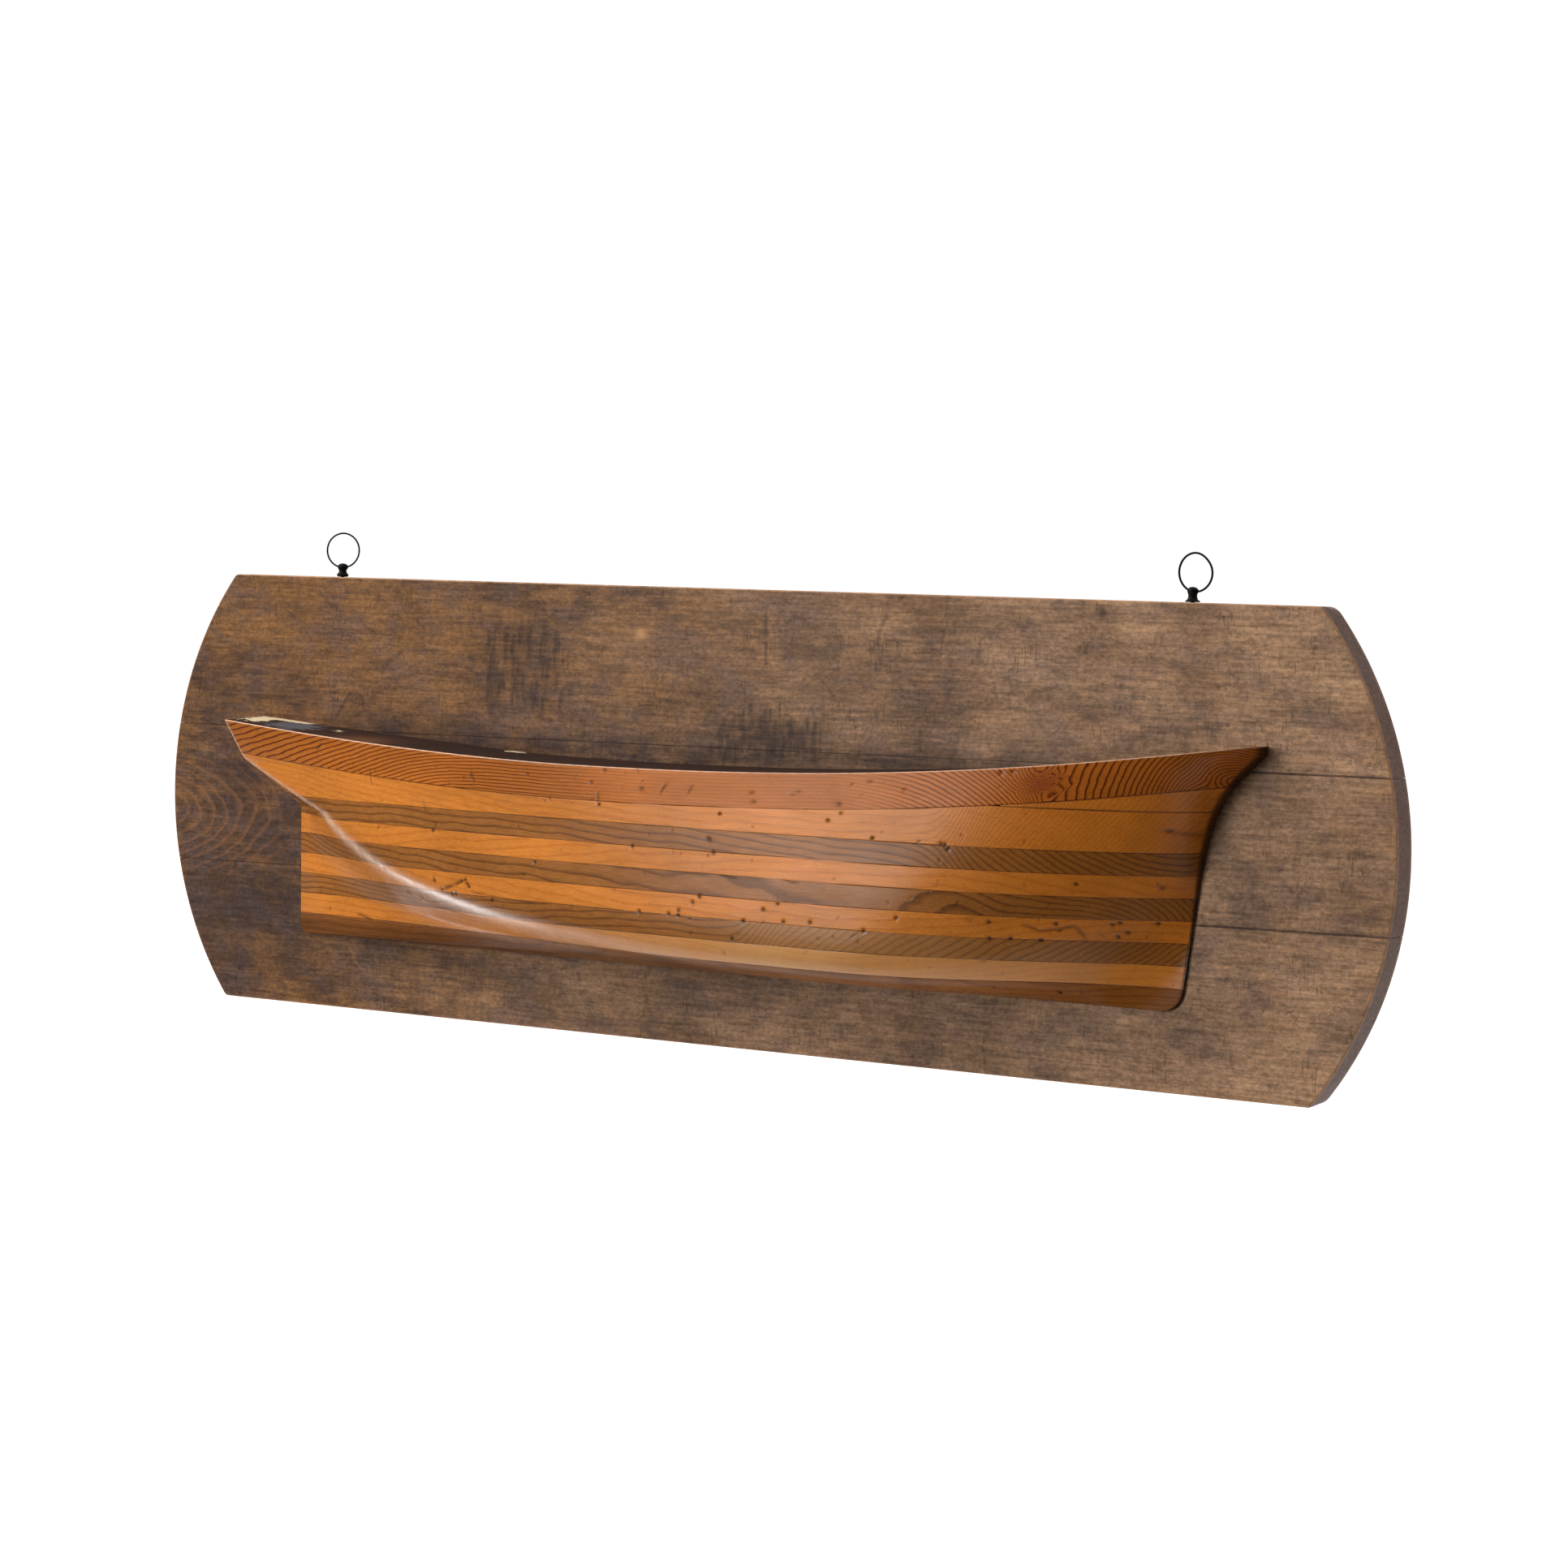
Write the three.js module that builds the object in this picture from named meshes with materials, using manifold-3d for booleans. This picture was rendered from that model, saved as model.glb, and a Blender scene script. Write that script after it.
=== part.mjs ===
// A ship half hull model, such as hangs on a wall. The half hull is built up of flat lifts of wood and a
// sheer lift that follows the deck line, on a round-ended board of three planks, which hangs by two wire
// rings in turned screw posts. Millimetres, +Z up. The origin is the middle of the board's back, which
// lies on y = 0 against the wall. The board faces -Y, and the bow points to +X.

import * as THREE from 'three';
import Module from 'manifold-3d';
import { mergeVertices } from 'three/addons/utils/BufferGeometryUtils.js';

// Board
const BOARD_HEIGHT = 356;
const BOARD_CHORD = 1007; // length of the top edge, from corner to corner
const BOARD_END_RISE = 63; // how far each rounded end stands out past its corners
const BOARD_THICKNESS = 25.4;
const UPPER_SEAM_AFT = 50; // heights of the slightly slanted seams at the two board ends
const UPPER_SEAM_FORE = 58.3;
const LOWER_SEAM_AFT = -64.7;
const LOWER_SEAM_FORE = -53.6;

// Glue lines, and the clearance of the ring wire and of the screw shanks
const JOINT_GAP = 0.3;
const RING_CLEARANCE = 0.3;
const SHANK_CLEARANCE = 0.3;

// Half hull, from the head of the transom to the head of the stem
const HULL_LENGTH = 938;
const HULL_OFFSET = 2.2; // middle of the hull from the middle of the board
const DECK_HEIGHT = 39.6; // lowest point of the sheer line above the board's middle
const HALF_BEAM = 98.5;
const KEEL_HALF_WIDTH = 2.5;
const TRANSOM_HALF_HEAD = 54;
const TRANSOM_HALF_FOOT = 36;
const SHEER_RISE_AFT = 18;
const SHEER_RISE_FORE = 38.6;

// Lifts, from the keel up: the flat ones, one that fills up to the sheer lift, a wedge that makes this
// one up at the bow, and the sheer lift
const FLAT_LIFTS = 7;
const LIFT_THICKNESS = 16.6;
const FILLER_LEAST = 15.4;
const SHEER_LIFT = 26.5;
const WEDGE_FOOT = 0.9285; // height of the wedge's level seam as a share of the hull's depth
const WEDGE_LEAST = 0.6; // thickness where the wedge runs out

// Stem, sternpost and stern, as shares of the hull's length from the transom head and of its depth
const STEM_FOOT = 0.9245;
const STEM_RAKE = 0.137; // forward run of the stem for each unit of height, before it flares
const FLARE_START = 0.27;
const FLARE_END = 1.116;
const FLARE_RAKE = 1.095;
const FLARE_POWER = 4;
const FOREFOOT_RADIUS = 14;
const HEEL_RADIUS = 7;
const POST_FOOT = 0.0483;
const POST_HEAD = 0.0451;
const POST_HEAD_HEIGHT = 0.661;
const TRANSOM_FOOT = 0.0102;
const TRANSOM_FOOT_HEIGHT = 0.8944;
const COUNTER_HOLLOW = 0.0035;

// Form of the hull: where it is widest and where the deck is lowest along its length, how full its
// sections and waterlines are, and how the fullness changes with height
const WIDEST = 0.6615;
const SHEER_LOWEST = 0.4;
const SHEER_POWER_AFT = 1.7;
const SHEER_POWER_FORE = 2.35;
const BILGE_POWER = 16;
const FLOOR_POWER = 0.643;
const TUMBLEHOME = 0.1;
const TUMBLEHOME_START = 0.4;
const BOW = { power: 2.16, powerRise: 1, blunt: 0.421, fine: 3.465, fade: 3.61 };
const TOPSIDE = { power: 2.02, powerRise: 0.32, tuck: 0.25 };
const RUN = { reach: 0.5337, fade: 2.434, leastReach: 0.0031, hollow: 1.55, hollowFall: 0.431,
  swell: 0.975 };
const RIDGE = { radius: 0.253, fade: 5.61, leastRadius: 0.0295, most: 0.25, fore: 2.5 };

// Screw posts and rings
const HANGER_SPAN = 793; // between the two posts
const HANGER_OFFSET = -2;
const RING_DIAMETER = 30; // outside
const RING_WIRE = 1.6;
const LEFT_HANGER_TURN = 17; // degrees that each post is screwed round
const RIGHT_HANGER_TURN = -4.6;
const RIGHT_RING_LEAN = 9; // degrees that the right ring's hole slopes down towards the bow
const EYE_HEIGHT = 8.4; // of the ring's hole above the board
const POST_HEIGHT = 11.5;
const POST_HEAD_RADIUS = 4.3;
const POST_WAIST_RADIUS = 3.3;
const POST_FLANGE_RADIUS = 5.6;
const SHANK_RADIUS = 1.6;
const SHANK_LENGTH = 18;

// Fineness of the solids
const HULL_COLUMNS = 36;
const WEDGE_COLUMNS = 12;
const END_SEGMENTS = 20;
const ROUND_SIDES = 16;
const RING_STEPS = 32;
const RING_SIDES = 8;

const SLIVER = 1e-4;
const FACE_Y = -BOARD_THICKNESS;
const HULL_BACK_Y = FACE_Y - JOINT_GAP;
const HULL_DEPTH = FLAT_LIFTS * LIFT_THICKNESS + FILLER_LEAST + SHEER_LIFT;
const KEEL_Z = DECK_HEIGHT - HULL_DEPTH;

const wasm = await Module();
wasm.setup();

const material = (color, roughness, metalness = 0) =>
  new THREE.MeshStandardMaterial({ color, roughness, metalness });
const clamp = THREE.MathUtils.clamp;
const lerp = THREE.MathUtils.lerp;

// Booleans on closed meshes

function toSolid(geometry) {
  const bare = geometry.index ? geometry.clone() : geometry;
  bare.deleteAttribute('normal');
  bare.deleteAttribute('uv');
  const merged = mergeVertices(bare, SLIVER);
  return new wasm.Manifold(new wasm.Mesh({
    numProp: 3,
    vertProperties: new Float32Array(merged.attributes.position.array),
    triVerts: new Uint32Array(merged.index.array),
  }));
}

function toGeometry(solid) {
  const mesh = solid.getMesh();
  const geometry = new THREE.BufferGeometry();
  geometry.setAttribute('position', new THREE.BufferAttribute(mesh.vertProperties, 3));
  geometry.setIndex(new THREE.BufferAttribute(mesh.triVerts, 1));
  geometry.computeVertexNormals();
  return geometry;
}

// Board

function boardEndX(z) {
  const halfHeight = BOARD_HEIGHT / 2;
  const radius = (halfHeight ** 2 + BOARD_END_RISE ** 2) / (2 * BOARD_END_RISE);
  return BOARD_CHORD / 2 + BOARD_END_RISE - radius + Math.sqrt(radius ** 2 - z ** 2);
}

// A plank between two edges, each given by its heights at the board's aft and fore ends
function plankGeometry(lower, upper) {
  const foreEnd = [];
  const aftEnd = [];
  for (let i = 0; i <= END_SEGMENTS; i++) {
    const up = i / END_SEGMENTS;
    const foreZ = lerp(lower.fore, upper.fore, up);
    const aftZ = lerp(lower.aft, upper.aft, 1 - up);
    foreEnd.push(new THREE.Vector2(boardEndX(foreZ), foreZ));
    aftEnd.push(new THREE.Vector2(-boardEndX(aftZ), aftZ));
  }
  const outline = new THREE.Shape([...foreEnd, ...aftEnd]);
  const plank = new THREE.ExtrudeGeometry(outline, { depth: BOARD_THICKNESS, bevelEnabled: false });
  return plank.rotateX(Math.PI / 2);
}

// Hull form

const hullX = (share) => HULL_OFFSET + (share - 0.5) * HULL_LENGTH;
const hullZ = (share) => KEEL_Z + share * HULL_DEPTH;

function sheerZ(x) {
  const lowest = hullX(SHEER_LOWEST);
  const aft = clamp((lowest - x) / (lowest - hullX(0)), 0, 2);
  const fore = clamp((x - lowest) / (hullX(1) - lowest), 0, 2);
  return DECK_HEIGHT + SHEER_RISE_AFT * aft ** SHEER_POWER_AFT + SHEER_RISE_FORE * fore ** SHEER_POWER_FORE;
}

// How far a quarter round at the keel line draws an edge back at a height above the keel
function roundedFoot(height, radius) {
  const short = clamp(radius - height, 0, radius);
  return radius - Math.sqrt(radius ** 2 - short ** 2);
}

// The stem's profile: a rounded forefoot, a raked straight and a flare that ends in a straight
function stemX(z) {
  const start = hullZ(FLARE_START);
  const end = hullZ(FLARE_END);
  const flared = clamp((z - start) / (end - start), 0, 1);
  const bend = (FLARE_RAKE - STEM_RAKE) * (end - start) / (FLARE_POWER + 1);
  const straight = hullX(STEM_FOOT) + STEM_RAKE * (Math.min(z, end) - KEEL_Z);
  const above = FLARE_RAKE * Math.max(z - end, 0);
  return straight + bend * flared ** (FLARE_POWER + 1) + above - roundedFoot(z - KEEL_Z, FOREFOOT_RADIUS);
}

// The stern's profile: a rounded heel, the sternpost, the hollow counter and the raked transom
function sternX(z) {
  const head = hullZ(POST_HEAD_HEIGHT);
  const knuckle = hullZ(TRANSOM_FOOT_HEIGHT);
  const top = sheerZ(hullX(0));
  if (z > knuckle) return lerp(hullX(TRANSOM_FOOT), hullX(0), (z - knuckle) / (top - knuckle));
  if (z > head) {
    const up = (z - head) / (knuckle - head);
    const hollow = 4 * up * (1 - up) * COUNTER_HOLLOW * HULL_LENGTH;
    return lerp(hullX(POST_HEAD), hullX(TRANSOM_FOOT), up) + hollow;
  }
  const post = lerp(hullX(POST_FOOT), hullX(POST_HEAD), (z - KEEL_Z) / (head - KEEL_Z));
  return post + roundedFoot(z - KEEL_Z, HEEL_RADIUS);
}

// Half width of the sternpost, the counter and the transom at a height
function sternHalfWidth(z) {
  const head = hullZ(POST_HEAD_HEIGHT);
  const knuckle = hullZ(TRANSOM_FOOT_HEIGHT);
  const top = sheerZ(hullX(0));
  if (z > knuckle) return lerp(TRANSOM_HALF_FOOT, TRANSOM_HALF_HEAD, (z - knuckle) / (top - knuckle));
  return lerp(KEEL_HALF_WIDTH, TRANSOM_HALF_FOOT, clamp((z - head) / (knuckle - head), 0, 1));
}

// Half breadth of the topside aft, which narrows evenly from the full breadth to the transom
function topside(x, z, full, height) {
  const knuckle = hullZ(TRANSOM_FOOT_HEIGHT);
  const end = z > knuckle ? sternHalfWidth(z) : TRANSOM_HALF_FOOT - TOPSIDE.tuck * (knuckle - z);
  const along = clamp((x - hullX(0)) / (hullX(WIDEST) - hullX(0)), 0, 1);
  const power = TOPSIDE.power + TOPSIDE.powerRise * height;
  return lerp(Math.min(end, full), full, 1 - (1 - along) ** power);
}

// Half breadth of the run, which swells from the sternpost and the counter
function runBreadth(x, z, height) {
  const above = Math.max(z - hullZ(TRANSOM_FOOT_HEIGHT), 0);
  const end = Math.min(sternHalfWidth(z), TRANSOM_HALF_FOOT) + 3 * above;
  const reach = HULL_LENGTH * (RUN.leastReach + RUN.reach * Math.exp(-RUN.fade * height));
  const share = Math.max(x - sternX(z), 0) / reach;
  return end + HALF_BEAM * RUN.swell * share ** (RUN.hollow - RUN.hollowFall * height);
}

// Half breadth of the hull: the midship section, drawn in to the stem forward. Aft it is the lesser of
// topside and run, which meet in a rounded ridge.
function halfBreadth(x, z) {
  const height = clamp((z - KEEL_Z) / HULL_DEPTH, SLIVER, 1.3);
  const section = (1 - (1 - Math.min(height, 1)) ** BILGE_POWER) ** FLOOR_POWER;
  const tumble = 1 - TUMBLEHOME * Math.max(height - TUMBLEHOME_START, 0) ** 2;
  const full = HALF_BEAM * section * tumble;
  const widest = hullX(WIDEST);
  if (x > widest) {
    const along = clamp((stemX(z) - x) / (stemX(z) - widest), 0, 1);
    const bluntness = BOW.blunt + BOW.fine * Math.exp(-BOW.fade * height);
    const share = (1 - (1 - along) ** (BOW.power + BOW.powerRise * height)) ** bluntness;
    return lerp(KEEL_HALF_WIDTH, Math.max(full, KEEL_HALF_WIDTH), share);
  }
  const side = topside(x, z, full, height);
  const under = runBreadth(x, z, height);
  const back = (widest - x) / (widest - hullX(0));
  const round = HALF_BEAM * (RIDGE.leastRadius + RIDGE.radius * Math.exp(-RIDGE.fade * height));
  const radius = Math.min(round, RIDGE.most * side) * Math.min(1, RIDGE.fore * back);
  const ridge = (side + under - Math.hypot(side - under, 2 * radius)) / 2;
  return Math.max(ridge, KEEL_HALF_WIDTH);
}

// Where a line that gives the height for each x meets the stem or the stern
function meet(profileX, heightAt) {
  let x = profileX(heightAt(0));
  for (let i = 0; i < 40; i++) x = lerp(x, profileX(heightAt(x)), 0.7);
  return x;
}

// Lifts

// A closed solid between the hull's face and its flat back, from one row of face points per height
function liftGeometry(rows) {
  const columns = rows[0].length;
  const top = rows.length - 1;
  const last = columns - 1;
  const size = rows.length * columns;
  const positions = [];
  for (const row of rows) for (const point of row) positions.push(point.x, point.y, point.z);
  for (const row of rows) for (const point of row) positions.push(point.x, HULL_BACK_Y, point.z);
  const face = (j, i) => j * columns + i;
  const back = (j, i) => size + face(j, i);
  const index = [];
  const quad = (a, b, c, d) => index.push(a, b, c, a, c, d);
  for (let j = 0; j < top; j++) {
    for (let i = 0; i < last; i++) {
      quad(face(j, i), face(j, i + 1), face(j + 1, i + 1), face(j + 1, i));
      quad(back(j, i), back(j + 1, i), back(j + 1, i + 1), back(j, i + 1));
    }
    quad(face(j, last), back(j, last), back(j + 1, last), face(j + 1, last));
    quad(face(j, 0), face(j + 1, 0), back(j + 1, 0), back(j, 0));
  }
  for (let i = 0; i < last; i++) {
    quad(face(0, i), back(0, i), back(0, i + 1), face(0, i + 1));
    quad(face(top, i), face(top, i + 1), back(top, i + 1), back(top, i));
  }
  const geometry = new THREE.BufferGeometry();
  geometry.setAttribute('position', new THREE.Float32BufferAttribute(positions, 3));
  geometry.setIndex(index);
  geometry.computeVertexNormals();
  return geometry;
}

// Face points along one line of the hull, closest together near its two ends
function hullRow(heightAt, columns, start) {
  const aft = start ?? meet(sternX, heightAt);
  const fore = meet(stemX, heightAt);
  const row = [];
  for (let i = 0; i <= columns; i++) {
    const x = lerp(aft, fore, (1 - Math.cos(Math.PI * i / columns)) / 2);
    const z = heightAt(x);
    row.push(new THREE.Vector3(x, FACE_Y - halfBreadth(x, z), z));
  }
  return row;
}

// A lift between two lines, with its glue lines left open, and its rows at these shares of its height.
// It reaches from the stern, or from where it starts, to the stem.
function lift(lowerAt, upperAt, shares, columns = HULL_COLUMNS, start = undefined) {
  const low = (x) => lowerAt(x) + JOINT_GAP / 2;
  const high = (x) => upperAt(x) - JOINT_GAP / 2;
  const at = (share) => (x) => lerp(low(x), high(x), share);
  return liftGeometry(shares.map((share) => hullRow(at(share), columns, start)));
}

// Where the sheer line forward reaches a height
function sheerReaches(z) {
  const lowest = hullX(SHEER_LOWEST);
  const share = ((z - DECK_HEIGHT) / SHEER_RISE_FORE) ** (1 / SHEER_POWER_FORE);
  return lerp(lowest, hullX(1), share);
}

function evenShares(bands, power = 1) {
  return Array.from({ length: bands + 1 }, (_, i) => (i / bands) ** power);
}

// Hangers

function ringGeometry() {
  const centreRadius = (RING_DIAMETER - RING_WIRE) / 2;
  const ring = new THREE.TorusGeometry(centreRadius, RING_WIRE / 2, RING_SIDES, RING_STEPS);
  return ring.rotateX(Math.PI / 2);
}

// How far the ring's wire rises above its lowest point on its way through the post's head
function wireRise() {
  const centreRadius = (RING_DIAMETER - RING_WIRE) / 2;
  return centreRadius - Math.sqrt(centreRadius ** 2 - POST_HEAD_RADIUS ** 2);
}

// The turned post stands on z = 0, with its screw shank below and a hole for the ring along X, which
// leans by an angle
function postGeometry(lean) {
  const flange = POST_HEIGHT * 0.12;
  const waist = POST_HEIGHT * 0.36;
  const headWidest = POST_HEIGHT * 0.74;
  const profile = [
    [0, -SHANK_LENGTH],
    [SHANK_RADIUS * 0.4, -SHANK_LENGTH],
    [SHANK_RADIUS, -SHANK_LENGTH + 2 * SHANK_RADIUS],
    [SHANK_RADIUS, JOINT_GAP],
    [POST_FLANGE_RADIUS, JOINT_GAP],
    [lerp(POST_WAIST_RADIUS, POST_FLANGE_RADIUS, 0.4), flange],
    [lerp(POST_WAIST_RADIUS, POST_FLANGE_RADIUS, 0.1), (flange + waist) / 2],
    [POST_WAIST_RADIUS, waist],
    [lerp(POST_WAIST_RADIUS, POST_HEAD_RADIUS, 0.5), (waist + headWidest) / 2],
  ];
  const domeSteps = 4;
  for (let i = 0; i < domeSteps; i++) {
    const angle = (Math.PI / 2) * (i / domeSteps);
    const up = (POST_HEIGHT - headWidest) * Math.sin(angle);
    profile.push([POST_HEAD_RADIUS * Math.cos(angle), headWidest + up]);
  }
  profile.push([0, POST_HEIGHT]);
  const lathe = new THREE.LatheGeometry(profile.map(([r, z]) => new THREE.Vector2(r, z)), ROUND_SIDES);
  const hole = new THREE.CylinderGeometry(eyeRadius(), eyeRadius(), 4 * POST_HEAD_RADIUS, ROUND_SIDES);
  hole.rotateZ(Math.PI / 2).rotateY(lean).translate(0, 0, EYE_HEIGHT);
  return toGeometry(toSolid(lathe.rotateX(Math.PI / 2)).subtract(toSolid(hole)));
}

// The hole lets the curved wire swing about its middle
function eyeRadius() {
  return wireRise() / 2 + RING_WIRE / 2 + RING_CLEARANCE;
}

// Scene

const model = new THREE.Group();

function addMesh(parent, name, geometry, meshMaterial) {
  const mesh = new THREE.Mesh(geometry, meshMaterial);
  mesh.name = name;
  parent.add(mesh);
  return mesh;
}

const hangerX = (side) => HANGER_OFFSET + side * HANGER_SPAN / 2;
const SIDES = [
  { name: 'left', sign: -1, turn: LEFT_HANGER_TURN, lean: 0 },
  { name: 'right', sign: 1, turn: RIGHT_HANGER_TURN, lean: RIGHT_RING_LEAN },
];

function drilled(plank) {
  const radius = SHANK_RADIUS + SHANK_CLEARANCE;
  const length = SHANK_LENGTH + SHANK_CLEARANCE;
  let solid = toSolid(plank);
  for (const { sign } of SIDES) {
    const hole = new THREE.CylinderGeometry(radius, radius, 2 * length, ROUND_SIDES).rotateX(Math.PI / 2);
    hole.translate(hangerX(sign), FACE_Y / 2, BOARD_HEIGHT / 2);
    solid = solid.subtract(toSolid(hole));
  }
  return toGeometry(solid);
}

function addBoard() {
  const edge = (aft, fore, gap) => ({ aft: aft + gap, fore: fore + gap });
  const half = JOINT_GAP / 2;
  const top = edge(BOARD_HEIGHT / 2, BOARD_HEIGHT / 2, 0);
  const bottom = edge(-BOARD_HEIGHT / 2, -BOARD_HEIGHT / 2, 0);
  const upper = plankGeometry(edge(UPPER_SEAM_AFT, UPPER_SEAM_FORE, half), top);
  const middle = plankGeometry(
    edge(LOWER_SEAM_AFT, LOWER_SEAM_FORE, half),
    edge(UPPER_SEAM_AFT, UPPER_SEAM_FORE, -half),
  );
  const lower = plankGeometry(bottom, edge(LOWER_SEAM_AFT, LOWER_SEAM_FORE, -half));
  addMesh(model, 'board_upper', drilled(upper), material(0x6b4c34, 0.6));
  addMesh(model, 'board_middle', middle, material(0x64472f, 0.6));
  addMesh(model, 'board_lower', lower, material(0x5f4532, 0.6));
}

function addHull() {
  const pale = 0xb9733a;
  const dark = 0x7d5a33;
  const flatTop = (count) => () => KEEL_Z + count * LIFT_THICKNESS;
  const sheerSeam = (x) => sheerZ(x) - SHEER_LIFT;
  for (let k = 0; k < FLAT_LIFTS; k++) {
    // The two lowest lifts hold the floor and the turn of the bilge
    const shares = [evenShares(8, 2.2), evenShares(3)][k] ?? evenShares(2);
    const colour = k % 2 === 0 ? dark : pale;
    addMesh(model, `hull_lift_${k + 1}`, lift(flatTop(k), flatTop(k + 1), shares), material(colour, 0.35));
  }
  const wedgeFoot = hullZ(WEDGE_FOOT);
  const wedgeStart = sheerReaches(wedgeFoot + SHEER_LIFT + JOINT_GAP + WEDGE_LEAST);
  const fillerTop = (x) => (x > hullX(SHEER_LOWEST) ? Math.min(sheerSeam(x), wedgeFoot) : sheerSeam(x));
  const filler = lift(flatTop(FLAT_LIFTS), fillerTop, evenShares(3));
  const wedge = lift(() => wedgeFoot, sheerSeam, evenShares(2), WEDGE_COLUMNS, wedgeStart);
  addMesh(model, `hull_lift_${FLAT_LIFTS + 1}`, filler, material(pale, 0.35));
  addMesh(model, 'hull_bow_wedge', wedge, material(pale, 0.35));
  // The sheer lift's top is the bare deck, with no glue line above it
  const deck = (x) => sheerZ(x) + JOINT_GAP / 2;
  addMesh(model, 'hull_sheer_lift', lift(sheerSeam, deck, evenShares(3)), material(0xa8622f, 0.35));
}

function addHangers() {
  const iron = () => material(0x2a211c, 0.5, 0.7);
  for (const { name, sign, turn, lean } of SIDES) {
    const hanger = new THREE.Group();
    hanger.position.set(hangerX(sign), FACE_Y / 2, BOARD_HEIGHT / 2);
    hanger.rotation.z = THREE.MathUtils.degToRad(turn);
    addMesh(hanger, `hanger_post_${name}`, postGeometry(THREE.MathUtils.degToRad(lean)), iron());
    const eye = new THREE.Group();
    eye.position.z = EYE_HEIGHT;
    eye.rotation.y = THREE.MathUtils.degToRad(lean);
    const ring = addMesh(eye, `hanger_ring_${name}`, ringGeometry(), iron());
    ring.position.z = (RING_DIAMETER - RING_WIRE) / 2 - wireRise() / 2;
    hanger.add(eye);
    model.add(hanger);
  }
}

addBoard();
addHull();
addHangers();

export default model;
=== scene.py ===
"""The looks of a ship half hull model: half a hull of glued wooden lifts on a round-ended plank board.

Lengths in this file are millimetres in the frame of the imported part: +X along the board towards the bow,
+Y into the wall, +Z up. Meshes are scaled to metres when they are made.
"""

import math

import bpy
import numpy as np
from mathutils import Matrix


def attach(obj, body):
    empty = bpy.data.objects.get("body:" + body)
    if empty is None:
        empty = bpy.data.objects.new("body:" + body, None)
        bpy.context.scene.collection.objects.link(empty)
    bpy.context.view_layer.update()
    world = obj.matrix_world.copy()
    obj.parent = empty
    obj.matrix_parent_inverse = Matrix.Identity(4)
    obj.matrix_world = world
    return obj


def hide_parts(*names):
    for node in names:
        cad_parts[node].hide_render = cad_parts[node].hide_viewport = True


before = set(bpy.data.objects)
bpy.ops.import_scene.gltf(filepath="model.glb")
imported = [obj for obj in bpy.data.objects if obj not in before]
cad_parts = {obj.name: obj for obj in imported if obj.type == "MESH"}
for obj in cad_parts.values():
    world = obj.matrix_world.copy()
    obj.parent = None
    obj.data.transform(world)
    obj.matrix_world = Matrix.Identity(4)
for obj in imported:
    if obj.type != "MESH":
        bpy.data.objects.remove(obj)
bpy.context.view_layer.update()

MM = 0.001

# Board
BOARD_HEIGHT = 356
BOARD_CHORD = 1007
BOARD_END_RISE = 63
BOARD_THICKNESS = 25.4
UPPER_SEAM = (50, 58.3)  # heights at the aft and the fore end
LOWER_SEAM = (-64.7, -53.6)
PLANK_GAP = 0.3
BOARD_EDGE = 0.9  # radius of the worn edges
AFT_CORNER = 2.5  # radii of the board's corners
FORE_CORNER = 0.6
FORE_BACK_CORNER = 5

# Half hull
JOINT_GAP = 0.3  # between the hull and the board
LIFT_GAP = 0.04  # the glue lines between the lifts are all but closed
SEAM_WIDTH = 0.45  # of the dirt along each side of a glue line
HULL_LENGTH = 938
HULL_OFFSET = 2.2
DECK_HEIGHT = 39.6
HALF_BEAM = 98.5
KEEL_HALF_WIDTH = 2.5
TRANSOM_HALF_HEAD = 54
TRANSOM_HALF_FOOT = 36
SHEER_RISE_AFT = 18
SHEER_RISE_FORE = 38.6
FLAT_LIFTS = 7
LIFT_THICKNESS = 16.6
FILLER_LEAST = 15.4
SHEER_LIFT = 26.5
WEDGE_FOOT = 0.9285
WEDGE_LEAST = 0.6
STEM_FOOT = 0.9245
STEM_RAKE = 0.137
FLARE_START = 0.27
FLARE_END = 1.116
FLARE_RAKE = 1.095
FLARE_POWER = 4
STEM_TIP = 464  # the sharp tip under the deck is worn off here
FOREFOOT_RADIUS = 14
HEEL_RADIUS = 7
POST_FOOT = 0.0483
POST_HEAD = 0.0451
POST_HEAD_HEIGHT = 0.661
TRANSOM_FOOT = 0.0102
TRANSOM_FOOT_HEIGHT = 0.8944
COUNTER_HOLLOW = 0.0035
WIDEST = 0.6615
SHEER_LOWEST = 0.4
SHEER_POWER_AFT = 1.7
SHEER_POWER_FORE = 2.35
BILGE_POWER = 16
FLOOR_POWER = 0.643
TUMBLEHOME = 0.1
TUMBLEHOME_START = 0.4
TRANSOM_SPREAD = 3  # how fast the run leaves the transom above its foot
BOW = {"power": 2.16, "rise": 1, "blunt": 0.421, "fine": 3.465, "fade": 3.61}
TOPSIDE = {"power": 2.02, "rise": 0.32, "tuck": 0.25}
RUN = {"reach": 0.5337, "fade": 2.434, "least": 0.0031, "hollow": 1.55, "fall": 0.431, "swell": 0.975}
RIDGE = {"radius": 0.253, "fade": 5.61, "least": 0.0295, "most": 0.25, "fore": 2.5}
STERN_EDGE = 2.2  # radius of the worn edge of transom and counter
SHEER_EDGE = 0.9  # radius of the worn edge of the deck
DECK_CROWN = 1.8  # how far the deck rises to the board near the stern
CROWN_START = -180
CROWN_FULL = -300

# Hangers
HANGER_SPAN = 793
HANGER_OFFSET = -2
EYE_HEIGHT = 8.4
RING_DIAMETER = 30
RING_WIRE = 1.6
RING_CLEARANCE = 0.3
POST_HEAD_RADIUS = 4.3

# Camera, fitted to the photograph
CAMERA_PLACE = (1747.2, -2642.1, 198.8)
CAMERA_YAW = 33.0  # degrees to the left of straight at the board
CAMERA_ROLL = 0.02564
CAMERA_LENS = 92.93
CAMERA_SHIFT = -0.14066

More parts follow.
